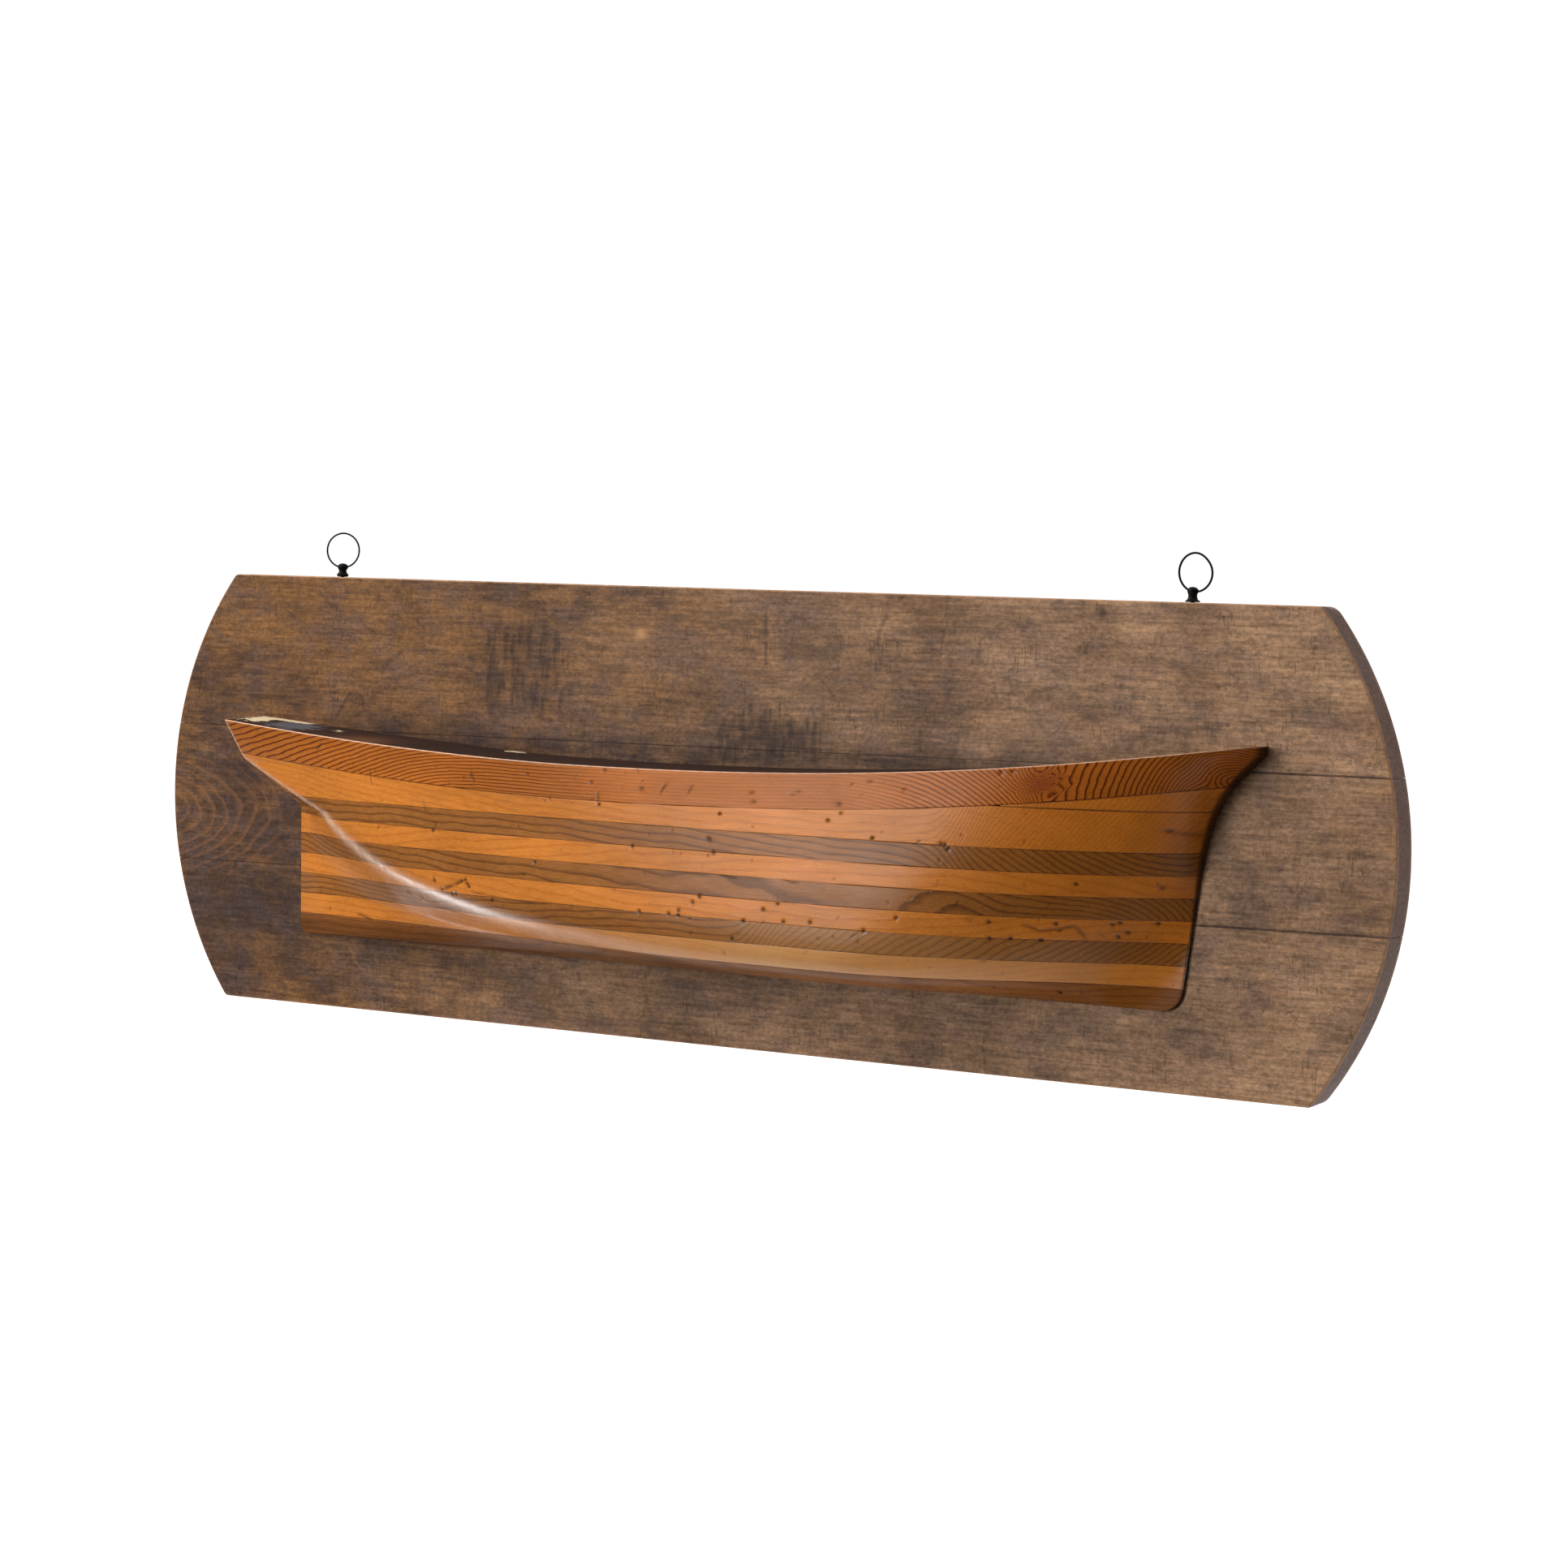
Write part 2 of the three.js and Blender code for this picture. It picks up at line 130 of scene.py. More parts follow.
# Studio
FLOOR_Z = -1.9  # metres
FLOOR_FRONT = -0.6
FLOOR_BACK = 80
FLOOR_SIDE = 40
FLOOR_GLOW = 0.6
FLOOR_GLOW_REACH = (1800, 3200)  # millimetres behind the object where the glow starts and is whole
WORLD_FRONT = 0.1
WORLD_BACK = 1.05
WORLD_TOP = 0.8
# Each soft lamp: name, azimuth, elevation, distance, width and height, power
SOFTBOXES = [
    ("front", -26, 3, 3.2, (1.4, 1.6), 48),
    ("left", -62, 36, 3.2, (1.5, 1.5), 86),
    ("low_left", -106, -32, 2.4, (0.6, 0.45), 9),
]

MARK_DEPTH = 0.55  # of dents and holes in the hull
HOLE_DEPTH = 0.8  # of holes in the board

# Fineness of the meshes
BOARD_STEP = 1.6
HULL_STEP = 1.35
DECK_STEP = 1.3 * HULL_STEP
RIM_STEP = 3.2
END_EDGE = 3.0  # width of the finer division at a plank's ends and sides
SIDE_EDGE = 1.5
END_STEPS = np.array([0, 0.12, 0.35, 0.7, 1.2, 1.8, 2.5])  # of the points near the two ends of a hull row
KEEL_ROWS = 22  # rows of points up the keel lift, the other flat lifts and the bow wedge
FLAT_ROWS = 12
WEDGE_ROWS = 8
WEDGE_LENGTH = 150  # sets how many points lie along the wedge
POST_SIDES = 56
BORE_SIDES = 32
RING_AROUND = 128
RING_SIDES = 14

FACE_Y = -BOARD_THICKNESS
HULL_BACK_Y = FACE_Y - JOINT_GAP
HULL_DEPTH = FLAT_LIFTS * LIFT_THICKNESS + FILLER_LEAST + SHEER_LIFT
KEEL_Z = DECK_HEIGHT - HULL_DEPTH


# Small helpers


def lerp(a, b, share):
    return a + (b - a) * share


def smooth(value, low, high):
    """0 below low, 1 above high and a smooth rise between them. Low may be the larger."""
    share = np.clip((value - low) / (high - low), 0, 1)
    return share * share * (3 - 2 * share)


def quarter_round(distance, radius):
    """How far a rounded edge draws a surface back at a distance from the edge."""
    short = np.clip(radius - distance, 0, radius)
    return radius - np.sqrt(radius**2 - short**2)


def steps(length, step):
    return max(2, int(round(length / step)))


# Meshes


def add_object(name, data):
    made = bpy.data.objects.new(name, data)
    bpy.context.scene.collection.objects.link(made)
    return made


def add_mesh(name, points, quads, rings=(), sharp=32):
    """A mesh object from points in millimetres, four-cornered faces and longer rings of points."""
    mesh = bpy.data.meshes.new(name)
    faces = np.asarray(quads).reshape(-1, 4).tolist() + [list(ring) for ring in rings]
    mesh.from_pydata((np.asarray(points, float) * MM).tolist(), [], faces)
    mesh.validate()
    mesh.shade_smooth()
    mesh.set_sharp_from_angle(angle=math.radians(sharp))
    return add_object(name, mesh)


def lay_paint(piece, **layers):
    """Keeps layers of paint on a piece, each a value at every point, for its material to read."""
    for name, values in layers.items():
        attribute = piece.data.attributes.new(name, "FLOAT", "POINT")
        attribute.data.foreach_set("value", np.asarray(values, np.float32).ravel())


def grid_quads(rows, columns, start=0):
    """Faces of a grid of points, with the rows one after the other from a first point."""
    first = start + np.arange((rows - 1) * columns).reshape(rows - 1, columns)[:, :-1].ravel()
    return np.stack([first, first + 1, first + columns + 1, first + columns], -1)


def strip_quads(near, far):
    """Faces between two lines of points."""
    near = np.asarray(near)
    far = np.asarray(far)
    return np.stack([near[:-1], far[:-1], far[1:], near[1:]], -1)


def tube_quads(rings, sides, start=0, closed=False):
    """Faces of a tube through rings of points. A closed tube ends where it starts."""
    ring = start + np.arange(rings if closed else rings - 1)[:, None] * sides
    beyond = start + (ring - start + sides) % (rings * sides)
    side = np.arange(sides)
    beside = (side + 1) % sides
    return np.stack([ring + side, ring + beside, beyond + beside, beyond + side], -1).reshape(-1, 4)


def points_of(piece):
    co = np.zeros(len(piece.data.vertices) * 3)
    piece.data.vertices.foreach_get("co", co)
    return co.reshape(-1, 3) / MM


def sink(piece, points, depth):
    """Presses points of a piece towards the wall, each by its own depth."""
    sunk = points.copy()
    sunk[:, 1] += depth
    piece.data.vertices.foreach_set("co", (sunk * MM).ravel())
    piece.data.update()


# Hull form, as in the part


def hull_x(share):
    return HULL_OFFSET + (share - 0.5) * HULL_LENGTH


def hull_z(share):
    return KEEL_Z + share * HULL_DEPTH


def sheer_z(x):
    lowest = hull_x(SHEER_LOWEST)
    aft = np.clip((lowest - x) / (lowest - hull_x(0)), 0, 2)
    fore = np.clip((x - lowest) / (hull_x(1) - lowest), 0, 2)
    rise = SHEER_RISE_AFT * aft**SHEER_POWER_AFT + SHEER_RISE_FORE * fore**SHEER_POWER_FORE
    return DECK_HEIGHT + rise


STERN_X = hull_x(0)
WIDEST_X = hull_x(WIDEST)
POST_HEAD_Z = hull_z(POST_HEAD_HEIGHT)
KNUCKLE_Z = hull_z(TRANSOM_FOOT_HEIGHT)
TRANSOM_TOP_Z = sheer_z(STERN_X)


def stem_x(z):
    start = hull_z(FLARE_START)
    end = hull_z(FLARE_END)
    flared = np.clip((z - start) / (end - start), 0, 1)
    bend = (FLARE_RAKE - STEM_RAKE) * (end - start) / (FLARE_POWER + 1)
    straight = hull_x(STEM_FOOT) + STEM_RAKE * (np.minimum(z, end) - KEEL_Z)
    above = FLARE_RAKE * np.maximum(z - end, 0)
    foot = quarter_round(z - KEEL_Z, FOREFOOT_RADIUS)
    return np.minimum(straight + bend * flared ** (FLARE_POWER + 1) + above - foot, STEM_TIP)


def up_counter(z):
    """The share of the way up the counter, from the head of the sternpost to the transom's foot."""
    return np.clip((z - POST_HEAD_Z) / (KNUCKLE_Z - POST_HEAD_Z), 0, 1)


def up_transom(z):
    return (z - KNUCKLE_Z) / (TRANSOM_TOP_Z - KNUCKLE_Z)


def stern_x(z):
    transom = lerp(hull_x(TRANSOM_FOOT), STERN_X, up_transom(z))
    up = up_counter(z)
    hollow = 4 * up * (1 - up) * COUNTER_HOLLOW * HULL_LENGTH
    counter = lerp(hull_x(POST_HEAD), hull_x(TRANSOM_FOOT), up) + hollow
    post = lerp(hull_x(POST_FOOT), hull_x(POST_HEAD), (z - KEEL_Z) / (POST_HEAD_Z - KEEL_Z))
    post = post + quarter_round(z - KEEL_Z, HEEL_RADIUS)
    return np.where(z > KNUCKLE_Z, transom, np.where(z > POST_HEAD_Z, counter, post))


def stern_half_width(z):
    transom = lerp(TRANSOM_HALF_FOOT, TRANSOM_HALF_HEAD, up_transom(z))
    counter = lerp(KEEL_HALF_WIDTH, TRANSOM_HALF_FOOT, up_counter(z))
    return np.where(z > KNUCKLE_Z, transom, counter)


def topside(x, z, full, height):
    """Half breadth of the topside aft, which narrows evenly from the full breadth to the transom."""
    end = np.where(z > KNUCKLE_Z, stern_half_width(z), TRANSOM_HALF_FOOT - TOPSIDE["tuck"] * (KNUCKLE_Z - z))
    along = np.clip((x - STERN_X) / (WIDEST_X - STERN_X), 0, 1)
    power = TOPSIDE["power"] + TOPSIDE["rise"] * height
    return lerp(np.minimum(end, full), full, 1 - (1 - along) ** power)


def run_breadth(x, z, height):
    """Half breadth of the run, which swells from the sternpost and the counter."""
    above = np.maximum(z - KNUCKLE_Z, 0)
    end = np.minimum(stern_half_width(z), TRANSOM_HALF_FOOT) + TRANSOM_SPREAD * above
    reach = HULL_LENGTH * (RUN["least"] + RUN["reach"] * np.exp(-RUN["fade"] * height))
    share = np.maximum(x - stern_x(z), 0) / reach
    return end + HALF_BEAM * RUN["swell"] * share ** (RUN["hollow"] - RUN["fall"] * height)


def midship(z):
    """The share of the hull's height that z lies at, and the half breadth of the midship section there."""
    height = np.clip((z - KEEL_Z) / HULL_DEPTH, 1e-4, 1.3)
    section = (1 - (1 - np.minimum(height, 1)) ** BILGE_POWER) ** FLOOR_POWER
    tumble = 1 - TUMBLEHOME * np.maximum(height - TUMBLEHOME_START, 0) ** 2
    return height, HALF_BEAM * section * tumble


def half_breadth(x, z):
    """The midship section, drawn in to the stem forward. Aft it is the lesser of topside and run, which
    meet in a rounded ridge."""
    height, full = midship(z)
    along = np.clip((stem_x(z) - x) / (stem_x(z) - WIDEST_X), 0, 1)
    blunt = BOW["blunt"] + BOW["fine"] * np.exp(-BOW["fade"] * height)
    share = (1 - (1 - along) ** (BOW["power"] + BOW["rise"] * height)) ** blunt
    bow = lerp(KEEL_HALF_WIDTH, np.maximum(full, KEEL_HALF_WIDTH), share)
    side = topside(x, z, full, height)
    under = run_breadth(x, z, height)
    back = np.clip((WIDEST_X - x) / (WIDEST_X - STERN_X), 0, 1)
    rounded = HALF_BEAM * (RIDGE["least"] + RIDGE["radius"] * np.exp(-RIDGE["fade"] * height))
    radius = np.minimum(rounded, RIDGE["most"] * side) * np.minimum(1, RIDGE["fore"] * back)
    ridge = (side + under - np.hypot(side - under, 2 * radius)) / 2
    return np.where(x > WIDEST_X, bow, np.maximum(ridge, KEEL_HALF_WIDTH))


def meet(profile_x, height_at):
    """Where a line that gives the height for each x meets the stem or the stern."""
    x = float(profile_x(height_at(0.0)))
    for _ in range(40):
        x = lerp(x, float(profile_x(height_at(x))), 0.7)
    return x


def sheer_seam(x):
    return sheer_z(x) - SHEER_LIFT


def sheer_reaches(z):
    """Where the sheer line forward reaches a height."""
    share = ((z - DECK_HEIGHT) / SHEER_RISE_FORE) ** (1 / SHEER_POWER_FORE)
    return lerp(hull_x(SHEER_LOWEST), hull_x(1), share)


# Hull lifts


def hull_row(height_at, count, start=None, lower=0.0):
    """Face points along one line of the hull, and how far each is from the row's aft end. The line may
    be lowered a little, as on the rounded edge of the deck."""
    aft = meet(stern_x, height_at) if start is None else start
    fore = meet(stem_x, height_at)
    middle = np.linspace(aft + END_STEPS[-1], fore - END_STEPS[-1], count)
    x = np.concatenate([aft + END_STEPS[:-1], middle, fore - END_STEPS[-2::-1]])
    z = height_at(x) - lower
    breadth = half_breadth(x, height_at(x))
    if start is None:
        edge = np.minimum(STERN_EDGE, 0.4 * stern_half_width(height_at(x)))
        breadth = breadth - quarter_round(x - aft, edge)
    return np.stack([x, FACE_Y - breadth, z], -1)


def lift_rows(lower_at, upper_at, count, start=None, rows=None):
    """Rows of face points between two lines, with the glue lines left open."""
    thickness = float(np.max(upper_at(np.linspace(-400, 400, 9)) - lower_at(np.linspace(-400, 400, 9))))
    number = rows or steps(max(thickness, LIFT_THICKNESS), HULL_STEP)

    def line(share):
        return lambda x: lerp(lower_at(x) + LIFT_GAP / 2, upper_at(x) - LIFT_GAP / 2, share)

    near = SEAM_WIDTH / LIFT_THICKNESS
    shares = np.concatenate([[0], np.linspace(near, 1 - near, number), [1]])
    return [hull_row(line(share), count, start) for share in shares]


def add_lift(name, rows, deck):
    """A closed solid of face rows, of deck rows if it has any, and of a flat back."""
    columns = len(rows[0])
    side = len(rows)
    front = np.concatenate(list(rows) + list(deck))
    back = np.concatenate(rows)
    back[:, 1] = HULL_BACK_Y
    start = len(front)
    line = np.arange(columns)
    face_rows = np.arange(side) * columns
    quads = [
        grid_quads(side + len(deck), columns),
        grid_quads(side, columns, start)[:, ::-1],
        strip_quads(line, start + line),
        strip_quads(start + line + (side - 1) * columns, line + (side + len(deck) - 1) * columns),
        strip_quads(start + face_rows, face_rows),
        strip_quads(face_rows + columns - 1, start + face_rows + columns - 1),
    ]
    rings = []
    if deck:
        deck_ends = np.arange(side - 1, side + len(deck)) * columns
        back_top = start + (side - 1) * columns
        rings.append([*deck_ends, back_top])
        rings.append([*(deck_ends + columns - 1)[::-1], back_top + columns - 1])
    return add_mesh(name, np.concatenate([front, back]), np.concatenate(quads), rings)


def deck_rows(edge_row):
    """The deck from its rounded edge to the board, with its crown near the stern."""
    x, y, z = edge_row.T
    crown = DECK_CROWN * smooth(x, CROWN_START, CROWN_FULL)
    width = HULL_BACK_Y - y
    rows = []
    for share in np.linspace(0, 1, steps(HALF_BEAM, DECK_STEP) + 1)[1:]:
        height = z + crown * smooth(share, 0.0, 0.9)
        rows.append(np.stack([x, y + width * share, height], -1))
    return rows


def sheer_rows(count):
    """Face rows of the sheer lift, up to its seam with the air, and the rows of its rounded edge."""

    def deck(x):
        return sheer_z(x) + JOINT_GAP / 2 - SHEER_EDGE

    rows = lift_rows(sheer_seam, deck, count)
    side = rows[-1]
    for angle in np.radians([20, 42, 66, 90]):
        row = side.copy()
        row[:, 1] += SHEER_EDGE * (1 - math.cos(angle)) * np.minimum(1, (HULL_BACK_Y - side[:, 1]) / 3)
        row[:, 2] += SHEER_EDGE * math.sin(angle)
        rows.append(row)
    return rows


def level(z):
    return lambda x: z + 0 * np.asarray(x, float)


def painted_lift(name, rows, deck):
    piece = add_lift(f"{name}_wood", rows, deck)
    paint_lift(name, piece, rows, deck)
    return piece


def make_hull():
    """The lifts of the hull by node name."""
    count = steps(HULL_LENGTH, HULL_STEP)
    flat_tops = [level(KEEL_Z + k * LIFT_THICKNESS) for k in range(FLAT_LIFTS + 1)]
    lifts = {}
    for k in range(FLAT_LIFTS):
        rows = lift_rows(flat_tops[k], flat_tops[k + 1], count, rows=FLAT_ROWS if k else KEEL_ROWS)
        lifts[f"hull_lift_{k + 1}"] = (rows, ())
    wedge_foot = hull_z(WEDGE_FOOT)
    wedge_start = sheer_reaches(wedge_foot + SHEER_LIFT + JOINT_GAP + WEDGE_LEAST)

    def filler_top(x):
        seam = sheer_seam(x)
        return np.where(x > hull_x(SHEER_LOWEST), np.minimum(seam, wedge_foot), seam)

    lifts["hull_lift_8"] = (lift_rows(flat_tops[FLAT_LIFTS], filler_top, count), ())
    wedge_count = steps(WEDGE_LENGTH, HULL_STEP)
    wedge = lift_rows(level(wedge_foot), sheer_seam, wedge_count, wedge_start, rows=WEDGE_ROWS)
    lifts["hull_bow_wedge"] = (wedge, ())
    side = sheer_rows(count)
    lifts["hull_sheer_lift"] = (side, deck_rows(side[-1]))
    return {name: painted_lift(name, rows, deck) for name, (rows, deck) in lifts.items()}


# Board


def board_end(z):
    half_height = BOARD_HEIGHT / 2
    radius = (half_height**2 + BOARD_END_RISE**2) / (2 * BOARD_END_RISE)
    return BOARD_CHORD / 2 + BOARD_END_RISE - radius + np.sqrt(radius**2 - z**2)


def eased(first, second, radius):
    """How far a point on one of two faces is drawn in from each of them by the round between them."""
    near = np.clip(1 - first / radius, 0, 1)
    beside = np.clip(1 - second / radius, 0, 1)
    on_first = first <= second
    other = np.where(on_first, beside, near)
    angle = other * math.pi / 4
    own = radius * (1 - np.cos(angle))
    across = radius * (other - np.sin(angle))
    away = np.maximum(first, second) >= radius
    own = np.where(away, 0, own)
    across = np.where(away, 0, across)
    return np.where(on_first, own, across), np.where(on_first, across, own)


def edge_marks(length, step, edge):
    """Marks from 0 to a length, closer together over the rounded edges at its ends."""
    near = np.linspace(0, edge, 5)[:-1]
    middle = np.linspace(edge, length - edge, steps(length - 2 * edge, step) + 1)
    return np.concatenate([near, middle, length - near[::-1]])


def plank_place(x_share, across, depth, lower, upper, round_sides):
    """Points of a plank from their places in a straight block: x_share from -1 to 1, across from 0 at its
    lower edge to 1, and depth from its front. Round_sides names the edges that are the board's own."""
    along = (x_share + 1) / 2
    low = lerp(*lower, along)
    height = lerp(*upper, along) - low
    off = {
        "front": depth,
        "back": BOARD_THICKNESS - depth,
        "end": (1 - np.abs(x_share)) * BOARD_CHORD / 2,
        "low": across * height,
        "high": (1 - across) * height,
    }
    fore_corner = lerp(FORE_CORNER, FORE_BACK_CORNER, smooth(depth, 0, BOARD_THICKNESS))
    corner = np.where(x_share > 0, fore_corner, AFT_CORNER)
    edges = [(face, side, BOARD_EDGE) for face in ("front", "back") for side in ("end", *round_sides)]
    edges += [("end", side, corner) for side in round_sides]
    drawn_in = {side: 0.0 for side in off}
    for first, second, radius in edges:
        own, other = eased(off[first], off[second], radius)
        drawn_in[first] = drawn_in[first] + own
        drawn_in[second] = drawn_in[second] + other
    z = low + across * height + drawn_in["low"] - drawn_in["high"]
    x = np.sign(x_share) * (np.abs(x_share) * board_end(z) - drawn_in["end"])
    y = FACE_Y + depth + drawn_in["front"] - drawn_in["back"]
    return np.stack([x, y, z], -1)


def make_plank(name, lower, upper, round_sides=()):
    """A plank between two slightly slanted seams, its face finely divided and its back one flat face."""
    height = upper[0] - lower[0]
    half = BOARD_CHORD / 2
    x_marks = edge_marks(2 * half, BOARD_STEP, END_EDGE) / half - 1
    z_marks = edge_marks(height, BOARD_STEP, SIDE_EDGE) / height
    place = (lower, upper, round_sides)
    grid_x, grid_z = np.meshgrid(x_marks, z_marks)
    front = plank_place(grid_x, grid_z, np.zeros_like(grid_x), *place)
    rows, columns = grid_x.shape
    points = [front.reshape(-1, 3)]
    quads = [grid_quads(rows, columns)]
    index = np.arange(rows * columns).reshape(rows, columns)
    outline = np.concatenate([index[0], index[1:, -1], index[-1, ::-1][1:], index[::-1, 0][1:-1]])
    last = outline
    start = rows * columns
    rim = [grid.ravel()[outline] for grid in (grid_x, grid_z)]
    for depth in edge_marks(BOARD_THICKNESS, RIM_STEP, BOARD_EDGE)[1:]:
        points.append(plank_place(*rim, np.full(len(outline), depth), *place))
        ring = start + np.arange(len(outline))
        quads.append(strip_quads(np.append(last, last[0]), np.append(ring, ring[0])))
        last = ring
        start += len(ring)
    return add_mesh(name, np.concatenate(points), np.concatenate(quads), [last[::-1]])


def make_board():
    """The planks of the board by node name."""
    top = BOARD_HEIGHT / 2
    gap = PLANK_GAP / 2
    planks = {
        "board_upper": (np.add(UPPER_SEAM, gap), (top, top), ["high"]),
        "board_middle": (np.add(LOWER_SEAM, gap), np.subtract(UPPER_SEAM, gap)),
        "board_lower": ((-top, -top), np.subtract(LOWER_SEAM, gap), ["low"]),
    }
    return {name: make_plank(f"{name}_wood", *plank) for name, plank in planks.items()}


# Hangers

# Turn about the post and lean in degrees, then radii and heights of the post's parts, the ring's wire and
# how much the ring is dented
HANGERS = {
    "left": {"side": -1, "turn": 17.0, "lean": 0.0, "head": 4.5, "waist": 3.1, "flange": 4.9,
             "flange_up": 1.6, "height": 11.5, "wire": 1.45, "flat": 0.0},
    "right": {"side": 1, "turn": -4.6, "lean": 9.0, "head": 4.2, "waist": 3.25, "flange": 5.6,
              "flange_up": 0.3, "height": 11.5, "wire": 1.65, "flat": 0.06},
}
RING_RADIUS = (RING_DIAMETER - RING_WIRE) / 2
# How far the wire's arc rises within the post's head
WIRE_RISE = RING_RADIUS - math.sqrt(RING_RADIUS**2 - POST_HEAD_RADIUS**2)
BORE_REACH = 8.0
DENT_ANGLE = math.radians(55)  # place and width of the dent in a ring
DENT_WIDTH = 0.6


def turned(a, b, angle):
    angle = math.radians(angle)
    return a * math.cos(angle) - b * math.sin(angle), a * math.sin(angle) + b * math.cos(angle)


def hanger_place(hanger, points):
    """Points of a hanger at its place on the board's top edge."""
    x, y, z = np.asarray(points, float).T
    x, y = turned(x, y, hanger["turn"])
    base_x = HANGER_OFFSET + hanger["side"] * HANGER_SPAN / 2
    return np.stack([x + base_x, y + FACE_Y / 2, z + BOARD_HEIGHT / 2], -1)


def lean_about_eye(hanger, points):
    """Points leaned about the hole of the post, the end towards the bow down."""
    x, y, z = np.asarray(points, float).T
    x, z = turned(x, z - EYE_HEIGHT, -hanger["lean"])
    return np.stack([x, y, z + EYE_HEIGHT], -1)


def post_profile(hanger):
    """Radius and height of the turned post, from the tip of its screw to the top of its head."""
    keys = ("height", "flange_up", "flange", "waist", "head")
    height, up, flange, waist, head = (hanger[key] for key in keys)
    line = [(0, -18), (0.64, -18), (1.6, -14.8), (1.6, 0.3), (flange - 0.9, 0.3)]
    line += [(flange - 0.25, 0.3 + up * 0.5), (flange, 0.5 + up), (flange - 0.15, 0.9 + up)]
    line += [(lerp(waist, flange, 0.55), 1.35 + up), (lerp(waist, flange, 0.2), 2.3 + up)]
    line += [(waist, 0.42 * height), (waist + 0.12, 0.5 * height), (lerp(waist, head, 0.55), 0.6 * height)]
    widest = 0.74 * height
    for angle in np.radians([-28, -10, 8, 24, 40, 56, 70, 82]):
        line.append((head * math.cos(angle), widest + (height - widest) * math.sin(angle)))
    return [*line, (0, height)]


def make_post(side, hanger):
    line = post_profile(hanger)
    angles = np.linspace(0, 2 * math.pi, POST_SIDES, endpoint=False)
    points = [[0, 0, line[0][1]]]
    for radius, height in line[1:-1]:
        points += [[radius * math.cos(a), radius * math.sin(a), height] for a in angles]
    points.append([0, 0, line[-1][1]])
    last = 1 + (len(line) - 3) * POST_SIDES
    rings = []
    for i in range(POST_SIDES):
        beside = (i + 1) % POST_SIDES
        rings += [[0, 1 + beside, 1 + i], [last + i, last + beside, last + POST_SIDES]]
    quads = tube_quads(len(line) - 2, POST_SIDES, start=1)
    post = add_mesh(f"hanger_post_{side}_metal", hanger_place(hanger, points), quads, rings, sharp=50)
    return drilled(post, hanger)


def drilled(post, hanger):
    """The post with its hole for the ring."""
    radius = WIRE_RISE / 2 + RING_WIRE / 2 + RING_CLEARANCE
    angles = np.linspace(0, 2 * math.pi, BORE_SIDES, endpoint=False)
    ring = np.stack([0 * angles, radius * np.cos(angles), EYE_HEIGHT + radius * np.sin(angles)], -1)
    reach = np.array([BORE_REACH, 0, 0])
    points = hanger_place(hanger, lean_about_eye(hanger, np.concatenate([ring - reach, ring + reach])))
    near = np.append(np.arange(BORE_SIDES), 0)
    ends = [range(BORE_SIDES), range(2 * BORE_SIDES - 1, BORE_SIDES - 1, -1)]
    bore = add_mesh("bore", points, strip_quads(near, near + BORE_SIDES)[:, ::-1], ends)
    cut = post.modifiers.new("hole", "BOOLEAN")
    cut.operation = "DIFFERENCE"
    cut.object = bore
    cut.solver = "EXACT"
    bpy.context.view_layer.update()
    shape = bpy.data.meshes.new_from_object(post.evaluated_get(bpy.context.evaluated_depsgraph_get()))
    post.modifiers.clear()
    post.data = shape
    shape.name = post.name
    bpy.data.objects.remove(bore)
    return post


def make_ring(side, hanger):
    """A bent wire ring through the hole of its post, a little out of round."""
    rim = np.linspace(0, 2 * math.pi, RING_AROUND, endpoint=False)
    section = np.linspace(0, 2 * math.pi, RING_SIDES, endpoint=False)
    rim, section = np.meshgrid(rim, section, indexing="ij")
    from_dent = np.mod(rim - DENT_ANGLE + math.pi, 2 * math.pi) - math.pi
    flat = hanger["flat"] * np.exp(-((from_dent / DENT_WIDTH) ** 2))
    reach = RING_RADIUS * (1 - flat) + hanger["wire"] / 2 * np.cos(section)
    height = EYE_HEIGHT + RING_RADIUS - WIRE_RISE / 2 + reach * np.sin(rim)
    points = np.stack([reach * np.cos(rim), hanger["wire"] / 2 * np.sin(section), height], -1)
    quads = tube_quads(RING_AROUND, RING_SIDES, closed=True)[:, [0, 3, 2, 1]]
    placed = hanger_place(hanger, lean_about_eye(hanger, points.reshape(-1, 3)))
    return add_mesh(f"hanger_ring_{side}_metal", placed, quads, sharp=180)


# Paint: what lies where on the wood, as a value at each point of a mesh


def wander(values, size, seed):
    """A smooth uneven line between -1 and 1 that varies over about this size."""
    random = np.random.default_rng(seed)
    total = 0
    for share in (1.0, 1.7, 2.9, 4.3):
        total = total + np.sin(values / size * share * 2.1 + random.uniform(0, 6.28)) / share
    return total / 1.6


def spot(x, z, place, reach):
    """1 in the middle of an oval spot and 0 well outside it."""
    return np.exp(-(((x - place[0]) / reach[0]) ** 2) - ((z - place[1]) / reach[1]) ** 2)


def stroke(x, z, start, end, width):
    """1 on a straight stroke and 0 beside it."""
    way = np.subtract(end, start)
    along = np.clip(((x - start[0]) * way[0] + (z - start[1]) * way[1]) / max(way @ way, 1e-6), 0, 1)
    off = np.hypot(x - start[0] - along * way[0], z - start[1] - along * way[1])
    return np.clip(1.4 - off / width, 0, 1) * (0.55 + 0.45 * np.sin(np.pi * along))


def paint(layer, mark, strength=1.0):
    np.maximum(layer, mark * strength, out=layer)


def paint_line(layer, x, z, points, width, strength):
    """Paints a line of straight strokes."""
    for start, end in zip(points, points[1:]):
        paint(layer, stroke(x, z, start, end, width), strength)


